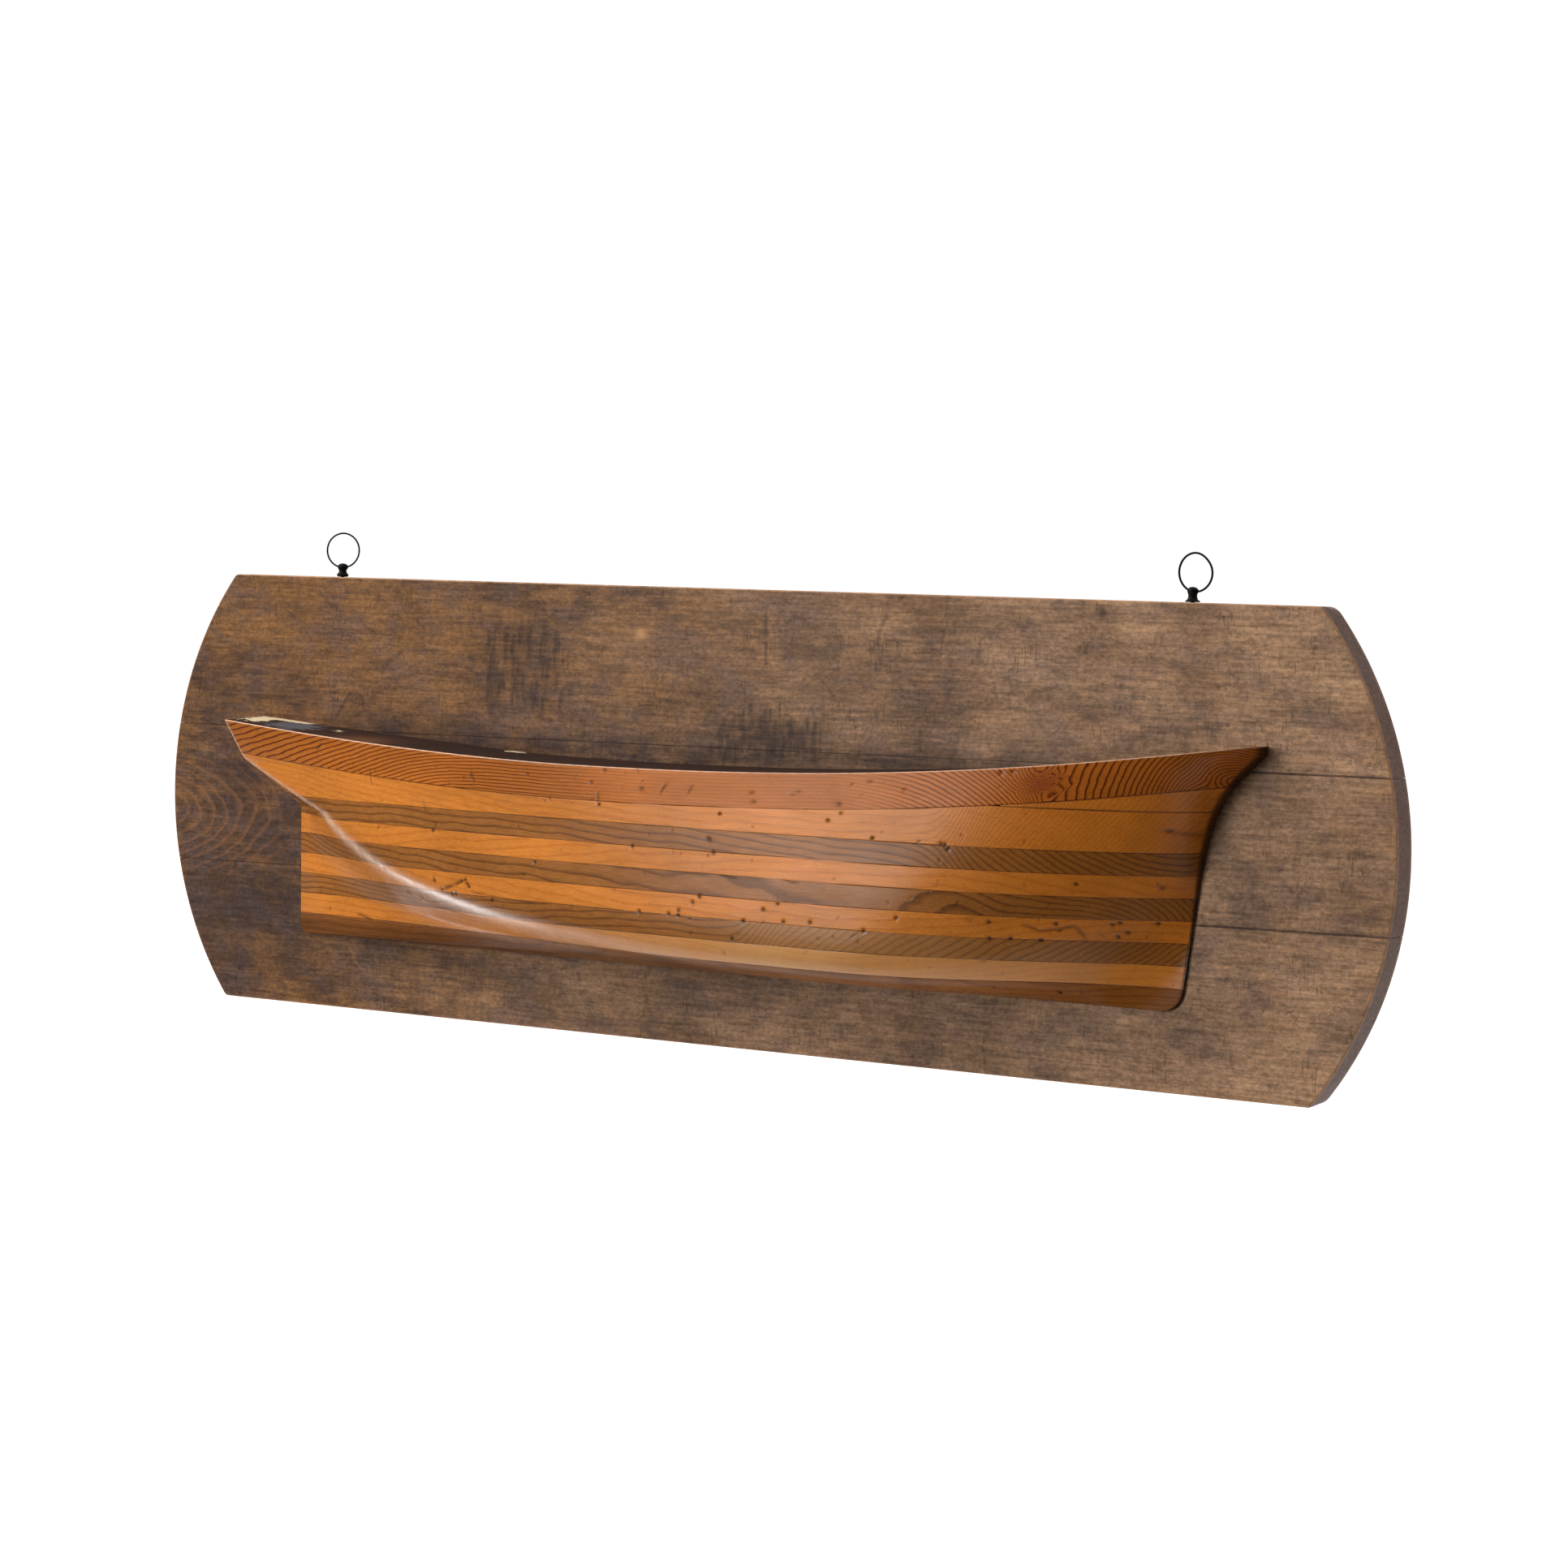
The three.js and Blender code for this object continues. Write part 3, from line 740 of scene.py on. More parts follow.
def paint_nicks(layer, x, z, random, nicks):
    """Paints short strokes at random places."""
    number, x_reach, z_reach, direction, lengths, widths, strengths = nicks
    margin = lengths[1] + 2 * widths[1]
    for _ in range(number):
        start = (random.uniform(*x_reach), random.uniform(*z_reach))
        turn = direction(random)
        length = random.uniform(*lengths)
        end = (start[0] + length * math.cos(turn), start[1] + length * math.sin(turn))
        near = (np.abs(x - start[0]) < margin) & (np.abs(z - start[1]) < margin)
        patch = layer[near]
        mark = stroke(x[near], z[near], start, end, random.uniform(*widths))
        paint(patch, mark, random.uniform(*strengths))
        layer[near] = patch


def laid_over(layer, mark):
    """A layer with a mark over it, which add up but never pass 1."""
    return 1 - (1 - layer) * (1 - mark)


def seed_of(name):
    return sum(map(ord, name))


# Each cluster of upright saw or brush marks: lowest and highest x and z, number, length, width, strength
UPRIGHT_MARKS = [
    (-236, -160, 84, 150, 60, 26, 2.0, 1.0), (-16, 82, 56, 80, 90, 15, 2.0, 1.0),
    (10, 60, 66, 92, 24, 16, 1.8, 0.9), (216, 272, 99, 114, 22, 9, 1.0, 0.6),
    (156, 203, 92, 112, 14, 10, 1.2, 0.5), (336, 378, 100, 119, 22, 10, 0.9, 0.55),
    (331, 404, 71, 94, 30, 9, 1.0, 0.5), (-153, -35, 62, 80, 26, 12, 1.1, 0.35),
    (440, 530, -45, 10, 24, 16, 1.3, 0.45), (-60, 70, 44, 56, 30, 7, 1.2, 0.5),
    (90, 240, 44, 60, 36, 8, 1.2, 0.45), (-200, 300, -170, -125, 60, 14, 1.3, 0.3),
    (-420, -220, -165, -128, 30, 20, 1.6, 0.3),
]

# Separate dark strokes, dents and scratches on the board: points, width, strength
BOARD_STROKES = [
    ([(32, 160), (33, 140), (33.5, 119)], 1.4, 0.8), ([(145, 177), (141, 165)], 1.2, 0.4),
    ([(142, 162), (137, 151), (134, 140)], 1.6, 0.6), ([(133, 139), (128, 133)], 1.3, 0.5),
    ([(147, 143), (152, 142), (153, 135)], 0.8, 0.6), ([(197, 132), (200, 131), (200, 124)], 0.8, 0.5),
    ([(85, 110), (91, 105), (97, 97)], 1.6, 0.55), ([(97, 97), (101, 88)], 0.9, 0.3),
    ([(181, 89), (187, 88), (187, 81)], 0.8, 0.6), ([(171, 76), (179, 75)], 0.8, 0.5),
    ([(104, 143), (103, 136)], 1.0, 0.4), ([(-322, 120), (-330, 113)], 1.6, 0.6),
    ([(-335, 110), (-342, 105), (-344, 99)], 1.5, 0.5), ([(-377, 82), (-384, 73), (-391, 62)], 1.7, 0.75),
    ([(-455, 112), (-447, 118), (-452, 100)], 1.3, 0.35), ([(327, 172), (329, 165)], 2.6, 0.8),
    ([(318, 159), (323, 156)], 1.6, 0.6), ([(287, 160), (294, 161), (299, 163)], 1.0, 0.4),
    ([(460, -105), (467, -106), (465, -115)], 1.0, 0.7), ([(484, -111), (492, -114), (491, -121)], 1.0, 0.7),
    ([(431, -80), (441, -82), (451, -83)], 0.8, 0.45), ([(485, -71), (500, -74)], 0.9, 0.5),
    ([(478, -105), (494, -112)], 0.8, 0.45), ([(416, -95), (411, -109), (405, -123)], 1.0, 0.4),
    ([(480, -33), (482, -41)], 0.8, 0.4), ([(213, 103), (240, 99), (283, 90)], 1.2, 0.35),
    ([(430, 95), (470, 93)], 0.7, 0.35), ([(456, 117), (462, 116)], 0.8, 0.4),
]

# Dark spots and smudges on the board: place, reach, strength
BOARD_SPOTS = [
    ((-500, 117), (7, 2.5), 0.6), ((-198, 118), (42, 34), 0.3), ((75, 137), (30, 9), 0.35),
    ((48, 66), (34, 9), 0.55), ((20, 60), (26, 6), 0.5), ((-500, 14), (26, 9), 0.65),
    ((-475, 6), (16, 12), 0.4), ((-500, 92), (60, 20), 0.25), ((-500, -110), (40, 26), 0.45),
    ((-445, -80), (36, 40), 0.4), ((-440, -15), (22, 26), 0.4), ((-300, -140), (60, 16), 0.3),
    ((327, 170), (5, 6), 0.5), ((430, 22), (9, 30), 0.55), ((446, -20), (12, 32), 0.4),
    ((493, 62), (8, 3), 0.5), ((507, -29), (4, 3), 0.6), ((541, 2), (14, 5), 0.45),
    ((530, -24), (16, 4), 0.35), ((240, 110), (60, 16), 0.3), ((420, 96), (70, 8), 0.25),
    ((390, 82), (26, 12), 0.3), ((352, 168), (40, 5), 0.2), ((120, 50), (120, 5), 0.4),
    ((-60, 48), (110, 4), 0.3), ((210, -140), (110, 20), 0.3),
]

# Nail and worm holes in the board, and chips at its ends: place
BOARD_HOLES = [
    (424.1, 117), (432, 91), (117, 75), (544, 68), (537, -95), (-208, 60), (300, -128), (486, -26),
]
EDGE_CHIPS = [(552, 61), (556, 52), (557, 40), (-530, 60), (560, -25), (548, -96)]
WHORL = (-575, -24)  # the middle plank's pith, off its aft end
# Pale marks: a round rub, then fine scratches with their width and strength
BOARD_RUB = ((-84.7, 140.4), (5.5, 4.5), 0.8)
PALE_SCRATCHES = [
    ([(-153, 53), (-97, 38)], 0.7, 0.14), ([(-79, 48), (-41, 41)], 0.7, 0.14),
    ([(-120, 47), (-105, 41)], 0.7, 0.14), ([(-371, -126), (-365, -138), (-352, -149)], 1.5, 0.13),
    ([(-402, -172), (-380, -168)], 1.5, 0.13),
]

# Random nicks: number, reach in x and in z, direction, lengths, widths and strengths
BOARD_NICKS = (
    170, (-540, 560), (-172, 172), lambda random: random.uniform(0, 3.14), (1, 5), (0.6, 1.1), (0.2, 0.6)
)
HULL_NICKS = (
    230, (-440, 440), (-112, 60), lambda random: random.normal(0.9, 0.9), (0.5, 3.2), (0.5, 0.8), (0.25, 0.7)
)

# Broad changes of the board's tone: place, reach, how much warmer and lighter
BOARD_TONES = [
    ((-380, 140), (150, 55), 0.3), ((-60, 150), (120, 30), 0.18), ((-500, -90), (90, 80), -0.42),
    ((-500, 40), (60, 30), -0.1), ((0, 60), (220, 30), -0.18), ((120, 110), (90, 40), -0.1),
    ((520, 60), (120, 90), 0.2), ((520, -90), (110, 90), 0.3), ((430, 0), (30, 80), -0.22),
    ((0, -150), (300, 40), -0.1), ((300, 60), (60, 20), -0.12),
]


def upright_marks(dark, x, z, random):
    for x_low, x_high, z_low, z_high, count, length, width, strength in UPRIGHT_MARKS:
        near = (x > x_low - 12) & (x < x_high + 12) & (z > z_low - length) & (z < z_high + length)
        patch = dark[near]
        for _ in range(count):
            start = np.array([random.uniform(x_low, x_high), random.uniform(z_low, z_high)])
            drop = length * random.uniform(0.4, 1.0)
            end = start + (random.uniform(-0.12, 0.02) * drop, -drop)
            own = strength * random.uniform(0.5, 1.0)
            paint(patch, stroke(x[near], z[near], start, end, width * random.uniform(0.6, 1.2)), own)
        dark[near] = patch


def board_dirt_and_shade(dark, x, z):
    """The dark layer with the dirt of the plank seams, dark joints along the hull's outline with painted
    contact shadow at the stem, and dirt with painted shade above the sheer.
    """
    for seam in (LOWER_SEAM, UPPER_SEAM):
        off = np.abs(z - lerp(*seam, x / BOARD_CHORD + 0.5))
        paint(dark, smooth(off, 1.3, 0.3), 0.25)
        paint(dark, smooth(off, 1.3, 0.3) * smooth(x, 340, 400), 0.9)
    above = z - sheer_z(x)
    beside_hull = (z > KEEL_Z - 1) & (above < 2)
    # A dark joint along the stem with painted contact shadow, and a dark joint along the sternpost
    paint(dark, smooth(np.abs(x - stem_x(z)), 1.7, 0.5) * beside_hull, 0.85)
    paint(dark, smooth(np.abs(x - stern_x(z) + 0.5), 2.0, 0.5) * beside_hull, 0.45)
    # Dirt and painted shade on the board just above the sheer
    shade_and_dirt_above_sheer = smooth(above, 30, 3) * (above > -4) * smooth(np.abs(x + 60), 430, 300)
    return laid_over(dark, 0.38 * shade_and_dirt_above_sheer * (1 + 0.3 * wander(x, 40, 53)))


def board_marks(x, z):
    """Dark marks with painted shade beside the hull, and bare chips on the board's face."""
    random = np.random.default_rng(11)
    dark = np.zeros_like(x)
    upright_marks(dark, x, z, random)
    for points, width, strength in BOARD_STROKES:
        paint_line(dark, x, z, points, width, strength)
    ragged = 1 + 0.25 * wander(x + 0.7 * z, 9, 3) + 0.2 * wander(z - 0.4 * x, 4, 5)
    for place, reach, strength in BOARD_SPOTS:
        dark = laid_over(dark, np.clip(strength * spot(x, z, place, reach) * ragged, 0, 1))
    for place in BOARD_HOLES:
        paint(dark, spot(x, z, place, (1.3, 1.2)))
    paint_nicks(dark, x, z, random, BOARD_NICKS)
    place, reach, strength = BOARD_RUB
    bare = strength * spot(x, z, place, reach)
    for points, width, strength in PALE_SCRATCHES:
        paint_line(bare, x, z, points, width, strength)
    return board_dirt_and_shade(dark, x, z), bare


def board_tone(x, z):
    """How warm and light the board is, about 0.5."""
    tone = 0.5 + 0.07 * wander(x, 60, 7) + 0.06 * wander(z + 0.1 * x, 21, 8)
    for place, reach, change in BOARD_TONES:
        tone = tone + change * spot(x, z, place, reach)
    return tone


def board_haze(x, z):
    """How much the board is painted pale, most at the right end: a painted sheen that grows towards the
    right end, a paler finish along the foot, and painted light beside the bow where the hull's shadow falls.
    """
    # Painted sheen growing towards the right end, and a paler finish along the foot
    haze = 0.04 + 0.46 * smooth(x, -330, 500) + 0.16 * smooth(z, -90, -150) * smooth(x, -420, -150)
    haze = haze * np.where(z < lerp(*LOWER_SEAM, x / BOARD_CHORD + 0.5), 1.2, 1.0)
    # Painted light on the board beside the bow, where the hull casts its shadow
    before = x - stem_x(z)
    painted_light_beside_bow = smooth(before, 48, 8) * (before > 0) * smooth(np.abs(z + 30), 110, 80)
    haze = haze + 0.22 * painted_light_beside_bow
    patchy = 1 + 0.25 * wander(x, 70, 51) + 0.2 * wander(z + 0.2 * x, 22, 52)
    return np.clip(haze * patchy, 0, 0.6)


def whorl(x, z):
    """Growth rings around the end of the middle plank's pith, and how plainly they show."""
    along = x - WHORL[0]
    up = z - WHORL[1]
    off = np.hypot(along / 1.9, up * (1 + 0.0012 * along))
    ring = off / 7.5 + 0.25 * wander(x + z, 40, 21) + 0.12 * wander(z - 0.6 * x, 21, 22)
    return ring, smooth(x, -432, -462) * smooth(np.abs(up), 62, 34)


def paint_board(piece):
    points = points_of(piece)
    x, y, z = points.T
    front = smooth(y, FACE_Y + 1.5, FACE_Y + 0.3)
    pits = np.zeros_like(x)
    for place in BOARD_HOLES:
        paint(pits, spot(x, z, place, (1.6, 1.5)))
    sink(piece, points, HOLE_DEPTH * pits * front)
    end = board_end(z) - np.abs(x)
    rim = np.minimum(end, BOARD_HEIGHT / 2 - np.abs(z))
    worn = smooth(rim, 1.3, 0.2) * smooth(y, FACE_Y + 1.8, FACE_Y + 0.4)
    worn = worn * (0.75 + 0.25 * wander(x + 2 * z, 7, 31))
    chips = np.zeros_like(x)
    for place in EDGE_CHIPS:
        paint(chips, spot(x, z, place, (5, 3.5)))
    between = smooth(y, FACE_Y + 0.2, FACE_Y + 1.2) * smooth(y, -0.2, -2.5)
    dark, bare = board_marks(x, z)
    ring, shows = whorl(x, z)
    lay_paint(
        piece,
        dark=dark * front,
        bare=bare * front,
        tone=board_tone(x, z),
        haze=board_haze(x, z),
        ring=ring,
        ring_shows=shows * front,
        worn=np.clip(worn + chips * smooth(rim, 4, 1) * front, 0, 1),
        end_face=smooth(end, 2.0, 0.6) * between,
    )


# Worm holes on the hull's side: place
HULL_HOLES = [
    (-15, -68.3), (13.5, -68.1), (22.7, -68.5), (23, -65), (35.9, -58), (42.4, -53.3), (100.9, -59),
    (119.2, -66.8), (83, -68.7), (142.7, -65.7), (72.6, -82.8), (188.6, -68.5), (113.7, -53.9),
    (214.9, -57.3), (250.9, -1.4), (253.5, -1.8), (256.1, -4.7), (282.6, -56.6), (280.9, -68.8),
    (294.7, -68.2), (314, -68.7), (326.4, -56), (327.2, -60.9), (361, -55.5), (365.6, -54.1), (368.7, -61.4),
    (362, -64.7), (388, -54.1), (-200.3, -58.1), (-196, -57), (-192.7, -62), (-194.5, -60), (-213.2, -69.4),
    (-209, -69), (-225.1, -66.5), (-232, -60), (-296, -55.5), (-278, -75), (-262, -78), (-168, -71),
    (-56, 10.5), (58.4, 9.8), (155, 10.4), (49.3, -9.6), (-22.3, -19.6), (194.1, -0.5), (54.2, -19.7),
    (-230, -20), (-120, -38), (310, -110), (345, -26),
]
# Dents: place, reach
HULL_DENTS = [
    ((86.2, 27), (4, 1.6)), ((88.1, 20.5), (4.2, 1.9)), ((123.2, 27.8), (3.5, 1.3)),
    ((128, 29.8), (4.6, 1.3)), ((164.1, 22.8), (3.4, 2.6)), ((166, 16.3), (3, 1.8)),
    ((174.2, 38.2), (1.6, 1.8)), ((189.4, 40.8), (5, 1.6)), ((218.7, 36.3), (2.6, 2)),
    ((-15.8, 24.7), (3.6, 2.4)), ((-64.3, 27.1), (3.2, 2)), ((-187, 25.7), (2.2, 3.4)),
    ((-128, 30), (3.2, 1.6)), ((-52, 37), (3, 2.5)), ((49, -9.6), (4.5, 2.6)), ((405.8, 14.5), (5, 3)),
    ((395, -27.5), (3.2, 3)), ((362, 61), (2, 2)), ((296.2, 52), (3.6, 2)), ((305.6, 53.5), (3.2, 2)),
]
# Scratches: points, width, strength
HULL_SCRATCHES = [
    ([(2, 22), (8, 30)], 0.9, 0.7), ([(28, 23), (32, 30)], 0.8, 0.6), ([(-187, 29), (-184, 20)], 1.0, 0.6),
    ([(-58, 20), (-57, 11)], 1.1, 0.65), ([(-300, 23), (-299, 12)], 0.7, 0.6),
    ([(-360, 37), (-352, 44)], 0.8, 0.6), ([(-240, 3), (-238, -6)], 0.7, 0.5),
    ([(-222, -66), (-210, -62), (-198, -58)], 1.5, 0.7), ([(-357, -99), (-340, -103)], 1.3, 0.7),
    ([(306, -58), (316, -62), (326, -60)], 1.4, 0.6), ([(405, 14), (430, 9)], 1.6, 0.5),
    ([(60, -36), (75, -37.5)], 0.8, 0.6), ([(118, -36), (132, -38)], 0.8, 0.6),
    ([(326, -60), (338, -57), (342, -66)], 1.6, 0.55), ([(-190, -66), (-160, -69), (-120, -70)], 0.8, 0.5),
]

# Bare chips on the deck: x and share of the way out from the board, reach of each, strength
DECK_CHIPS = [
    ((-455, 0.3), (12, 0.5), 1.1), ((-436, 0.1), (26, 0.14), 1.2), ((-362, 0.4), (14, 0.3), 0.4),
    ((-200, 0.05), (12, 0.14), 0.9),
]

# The growth lines of the sheer lift: how steeply they cross it and how many lie in a millimetre of height
SHEER_GRAIN_X = (-470, -350, -300, -250, -200, -150, 150, 220, 262, 300, 330)
SHEER_GRAIN_SLOPE = (0.3, 0.3, 0.27, 0.2, 0.09, 0.0, 0.0, -0.2, -0.55, -0.88, -1.2)
SHEER_GRAIN_COARSE = 0.21
SHEER_GRAIN_FINE = 0.38
SHEER_GRAIN_FORE = 0.27
SHEER_SWIRL = (327, -13)  # as x and height from the sheer line, like the two below
SHEER_KNOT = (447, -26)
SHEER_FAN = (447, -48)

# Where along the hull the growth lines of a lift start to slant, and how many more cross a millimetre
LIFT_FIGURES = {
    "hull_lift_8": (230, -0.2),
    "hull_lift_7": (220, -0.1),
    "hull_lift_5": (240, 0.08),
    "hull_lift_3": (60, 0.13),
    "hull_bow_wedge": (300, -0.2),
}

# Stretches of a lift that are paler than the rest: middle and reach along the hull, and strength
LIFT_WASHES = {
    "hull_lift_2": [(120, 190, 0.55), (270, 110, 0.35)],
    "hull_lift_3": [(180, 120, 0.2)],
}

# The growth rings of each other lift: two points of its pith line as x, y and z, and the rings' spacing
PITH = {
    "hull_bow_wedge": ((0, -70, -60), (400, -30, -80), 5.0),
    "hull_lift_8": ((-470, -10, -70), (470, -40, -95), 4.2),
    "hull_lift_7": ((-470, -20, 130), (470, -90, 90), 5.2),
    "hull_lift_6": ((-470, -60, 120), (470, -10, 140), 6.5),
    "hull_lift_5": ((-470, -50, 60), (470, -60, -90), 4.6),
    "hull_lift_4": ((-470, -10, -150), (470, -40, -190), 6.0),
    "hull_lift_3": ((-470, -60, 20), (470, -70, 10), 4.4),
    "hull_lift_2": ((-470, -30, -220), (470, -10, -240), 6.0),
    "hull_lift_1": ((-470, -40, -30), (470, -60, -20), 5.5),
}


def sheer_lines(x, below):
    """The growth lines of the sheer lift aft of the swirl, which level out amidships. The second value is
    the height from the sheer line."""
    across = np.linspace(-480, 480, 400)
    lines = lerp(SHEER_GRAIN_COARSE, SHEER_GRAIN_FINE, smooth(across, -420, -200))
    lines = lerp(lines, SHEER_GRAIN_FORE, smooth(across, 150, 260))
    slope = np.interp(across, SHEER_GRAIN_X, SHEER_GRAIN_SLOPE)
    risen = np.cumsum(slope * lines) * (across[1] - across[0])
    return below * np.interp(x, across, lines) - np.interp(x, across, risen)


def sheer_fan(x, below):
    """The growth lines of the sheer lift before the swirl: a fan that closes round a knot at the tip."""
    knot = np.hypot(x - SHEER_KNOT[0], below - SHEER_KNOT[1]) / 1.9
    off = np.hypot(x - SHEER_FAN[0], below - SHEER_FAN[1])
    fan = 11.7 + 13 * np.log(1 + np.maximum(off - 39.8, -12) / 24)
    return lerp(fan, knot, smooth(x, 420, 438))


def sheer_rings(x, z):
    below = z - sheer_z(x)
    uneven = 0.16 * wander(x + 3 * below, 60, 71) + 0.04 * wander(x, 14, 72)
    aft = sheer_lines(x, below)
    fore = sheer_fan(x, below)
    swirl = [np.array([float(value)]) for value in SHEER_SWIRL]
    fore = fore - sheer_fan(*swirl) + sheer_lines(*swirl)
    middle = 1.9 * spot(x, below, SHEER_SWIRL, (15, 9)) * wander(x - 2 * below, 8, 73)
    return 90 + lerp(aft, fore, smooth(x, 308, 346)) + uneven + middle


def growth_rings(name, points):
    """Which growth ring of its lift each point lies in, and how plainly the rings show."""
    x, _, z = points.T
    if name == "hull_sheer_lift":
        shows = np.maximum(smooth(x, -20, -140), smooth(x, 170, 250))
        return sheer_rings(x, z), 0.3 + 0.7 * shows
    first, second, spacing = PITH[name]
    first = np.array(first, float)
    way = np.subtract(second, first)
    way /= np.linalg.norm(way)
    off = points - first
    off = off - (off @ way)[:, None] * way
    seed = seed_of(name)
    uneven = 0.22 * wander(x, 55, seed) + 0.06 * wander(x + 3 * z, 21, seed + 1)
    return np.linalg.norm(off, axis=1) / spacing + uneven + figure(name, x), np.ones_like(x)


def figure(name, x):
    """Rings that are added towards the bow, where the growth lines of some lifts slant."""
    start, lines = LIFT_FIGURES.get(name, (0, 0))
    return lines * np.maximum(x - start, 0) * smooth(x, start, start + 60)


def lift_wash(name, x):
    """How much paler than the others of its kind a lift is."""
    wash = np.zeros_like(x)
    for middle, reach, strength in LIFT_WASHES.get(name, ()):
        paint(wash, np.exp(-(((x - middle) / reach) ** 2)), strength)
    return wash * (1 + 0.15 * wander(x, 45, 81))


def hull_marks(x, z):
    """Holes, dents and scratches on the hull's side."""
    dark = np.zeros_like(x)
    for place in HULL_HOLES:
        paint(dark, np.clip(1.5 * spot(x, z, place, (1.35, 1.2)), 0, 1))
    for place, reach in HULL_DENTS:
        paint(dark, np.clip(1.2 * spot(x, z, place, np.multiply(reach, 0.55)), 0, 1), 0.75)
    for points, width, strength in HULL_SCRATCHES:
        paint_line(dark, x, z, points, width, strength)
    paint_nicks(dark, x, z, np.random.default_rng(5), HULL_NICKS)
    return dark


def seam_dirt(name, x, seam_off):
    """The dark line along a lift's glue lines, which comes and goes."""
    shows = np.clip(0.55 + 0.7 * wander(x, 70, seed_of(name) + 9), 0.2, 1)
    plain = name in ("hull_sheer_lift", "hull_lift_8", "hull_bow_wedge")
    shows = np.maximum(shows, (0.9 if plain else 0.6) * smooth(x, 240, 330))
    shows = np.maximum(shows, 0.85 * plain * smooth(np.abs(x + 160), 190, 120))
    return smooth(seam_off, SEAM_WIDTH, 0.05) * shows


def ridge_highlight(x, z):
    """A painted highlight along the rounded ridge between topside and run, strongest near the stern and
    fading out towards amidships.
    """
    height, full = midship(z)
    gap = np.abs(topside(x, z, full, height) - run_breadth(x, z, height))
    near_stern = 0.6 * smooth(gap, 9, 0.5) * smooth(x, -200, -330)
    further_on = 0.34 * smooth(gap, 14, 1) * smooth(x, 90, -120)
    return (near_stern + further_on) * smooth(z, KEEL_Z + 11, KEEL_Z + 20)


def deck_marks(x, y, z):
    """Bare chips, grey patches and lighter stain on the deck, mostly right aft."""
    outward = (FACE_Y - y) / np.maximum(half_breadth(x, z), 1)
    chips = np.zeros_like(x)
    for place, reach, strength in DECK_CHIPS:
        paint(chips, spot(x, outward, place, reach), strength)
    slate = 1.1 * spot(x, outward, (-410, 0.5), (28, 0.45))
    brown = 0.8 * spot(x, outward, (-318, 0.8), (26, 0.35))
    return {"chips": chips, "slate": slate, "brown": brown}


def paint_lift(name, piece, rows, deck):
    """Paints a lift. Its points come row by row: the side, then the deck, then the back."""
    points = points_of(piece)
    x, y, z = points.T
    heights = np.array([row[:, 2] for row in rows])
    side = heights.size
    from_low = np.full(len(points), 99.0)
    from_high = np.full(len(points), 99.0)
    from_low[:side] = (heights - heights[0]).ravel()
    from_high[:side] = (heights[-1] - heights).ravel()
    on_side = np.arange(len(points)) < side
    dark = hull_marks(x, z)
    sink(piece, points, MARK_DEPTH * dark * (on_side & (HULL_BACK_Y - y > 3)))
    paint(dark, seam_dirt(name, x, from_low if deck else np.minimum(from_low, from_high)))
    # Painted shade along the foot of the hull, aft of amidships
    paint(dark, smooth(z, KEEL_Z + 20, KEEL_Z + 8) * smooth(x, 150, 0), 0.5)
    stem_off = stem_x(z) - x
    # Painted shade on the stem's face, and faint patchy painted shade on the hull close aft of the stem
    paint(dark, smooth(stem_off, 2.2, 0.3), 0.9)
    near_stem = np.clip(0.5 + 0.5 * wander(x + 3 * z, 7, 12), 0, 1)
    paint(dark, smooth(stem_off, 16, 2) * near_stem, 0.2)
    inward = half_breadth(x + 4, z) - (HULL_BACK_Y - y)
    # Pale line along the transom and counter edges: wear, and a painted highlight on the rounded edge
    worn = smooth(x - stern_x(z), 3.4, 1.0) * smooth(inward, 5, 2) * (z > POST_HEAD_Z + 2)
    # Painted highlight along the ridge between topside and run
    worn = np.maximum(worn, ridge_highlight(x, z))
    is_deck = np.zeros(len(points))
    extra = {}
    if deck:
        # Pale deck edge: wear, and a painted highlight on its round
        worn = np.maximum(worn, smooth(from_high, 1.0, 0.3))
        is_deck[side : side + len(deck) * len(rows[0])] = 1
        extra = deck_marks(x, y, z)
        extra["red"] = spot(x, z - sheer_z(x), SHEER_SWIRL, (17, 10)) * (1 - is_deck)
    ring, ring_shows = growth_rings(name, points)
    lay_paint(
        piece,
        dark=dark,
        worn=worn * (0.8 + 0.2 * wander(x, 5, 44)),
        ring=ring,
        ring_shows=ring_shows,
        deck=is_deck,
        pale=lift_wash(name, x),
        amber=0.65 * smooth(x, 230, 350) * (1 - is_deck),
        **extra,
    )


# Materials


class Nodes:
    """A node tree that is written as a formula. Where a value is asked for, a number, a socket or the name
    of a layer of paint will do."""

    def __init__(self, tree):
        self.tree = tree

    def node(self, kind, inputs=(), **settings):
        made = self.tree.nodes.new(kind)
        for key, value in settings.items():
            setattr(made, key, value)
        for key, value in dict(inputs).items():
            self.put(made.inputs[key], value)
        return made

    def put(self, socket, value):
        if isinstance(value, str):
            value = self.node("ShaderNodeAttribute", attribute_name=value).outputs["Fac"]
        if isinstance(value, bpy.types.NodeSocket):
            self.tree.links.new(value, socket)
        else:
            socket.default_value = value

    def math(self, operation, a, b=0.0):
        return self.node("ShaderNodeMath", {0: a, 1: b}, operation=operation).outputs[0]

    def add(self, a, b):
        return self.math("ADD", a, b)

    def times(self, a, b):
        return self.math("MULTIPLY", a, b)

    def ramp(self, value, low, high, to_low=0.0, to_high=1.0):
        inputs = {0: value, 1: low, 2: high, 3: to_low, 4: to_high}
        return self.node("ShaderNodeMapRange", inputs, interpolation_type="SMOOTHSTEP").outputs[0]

    def mix(self, share, a, b, blend="MIX"):
        inputs = {"Factor": share}
        for key, value in ((6, a), (7, b)):
            inputs[key] = value if isinstance(value, bpy.types.NodeSocket) else (*value, 1.0)
        return self.node("ShaderNodeMix", inputs, data_type="RGBA", blend_type=blend).outputs[2]


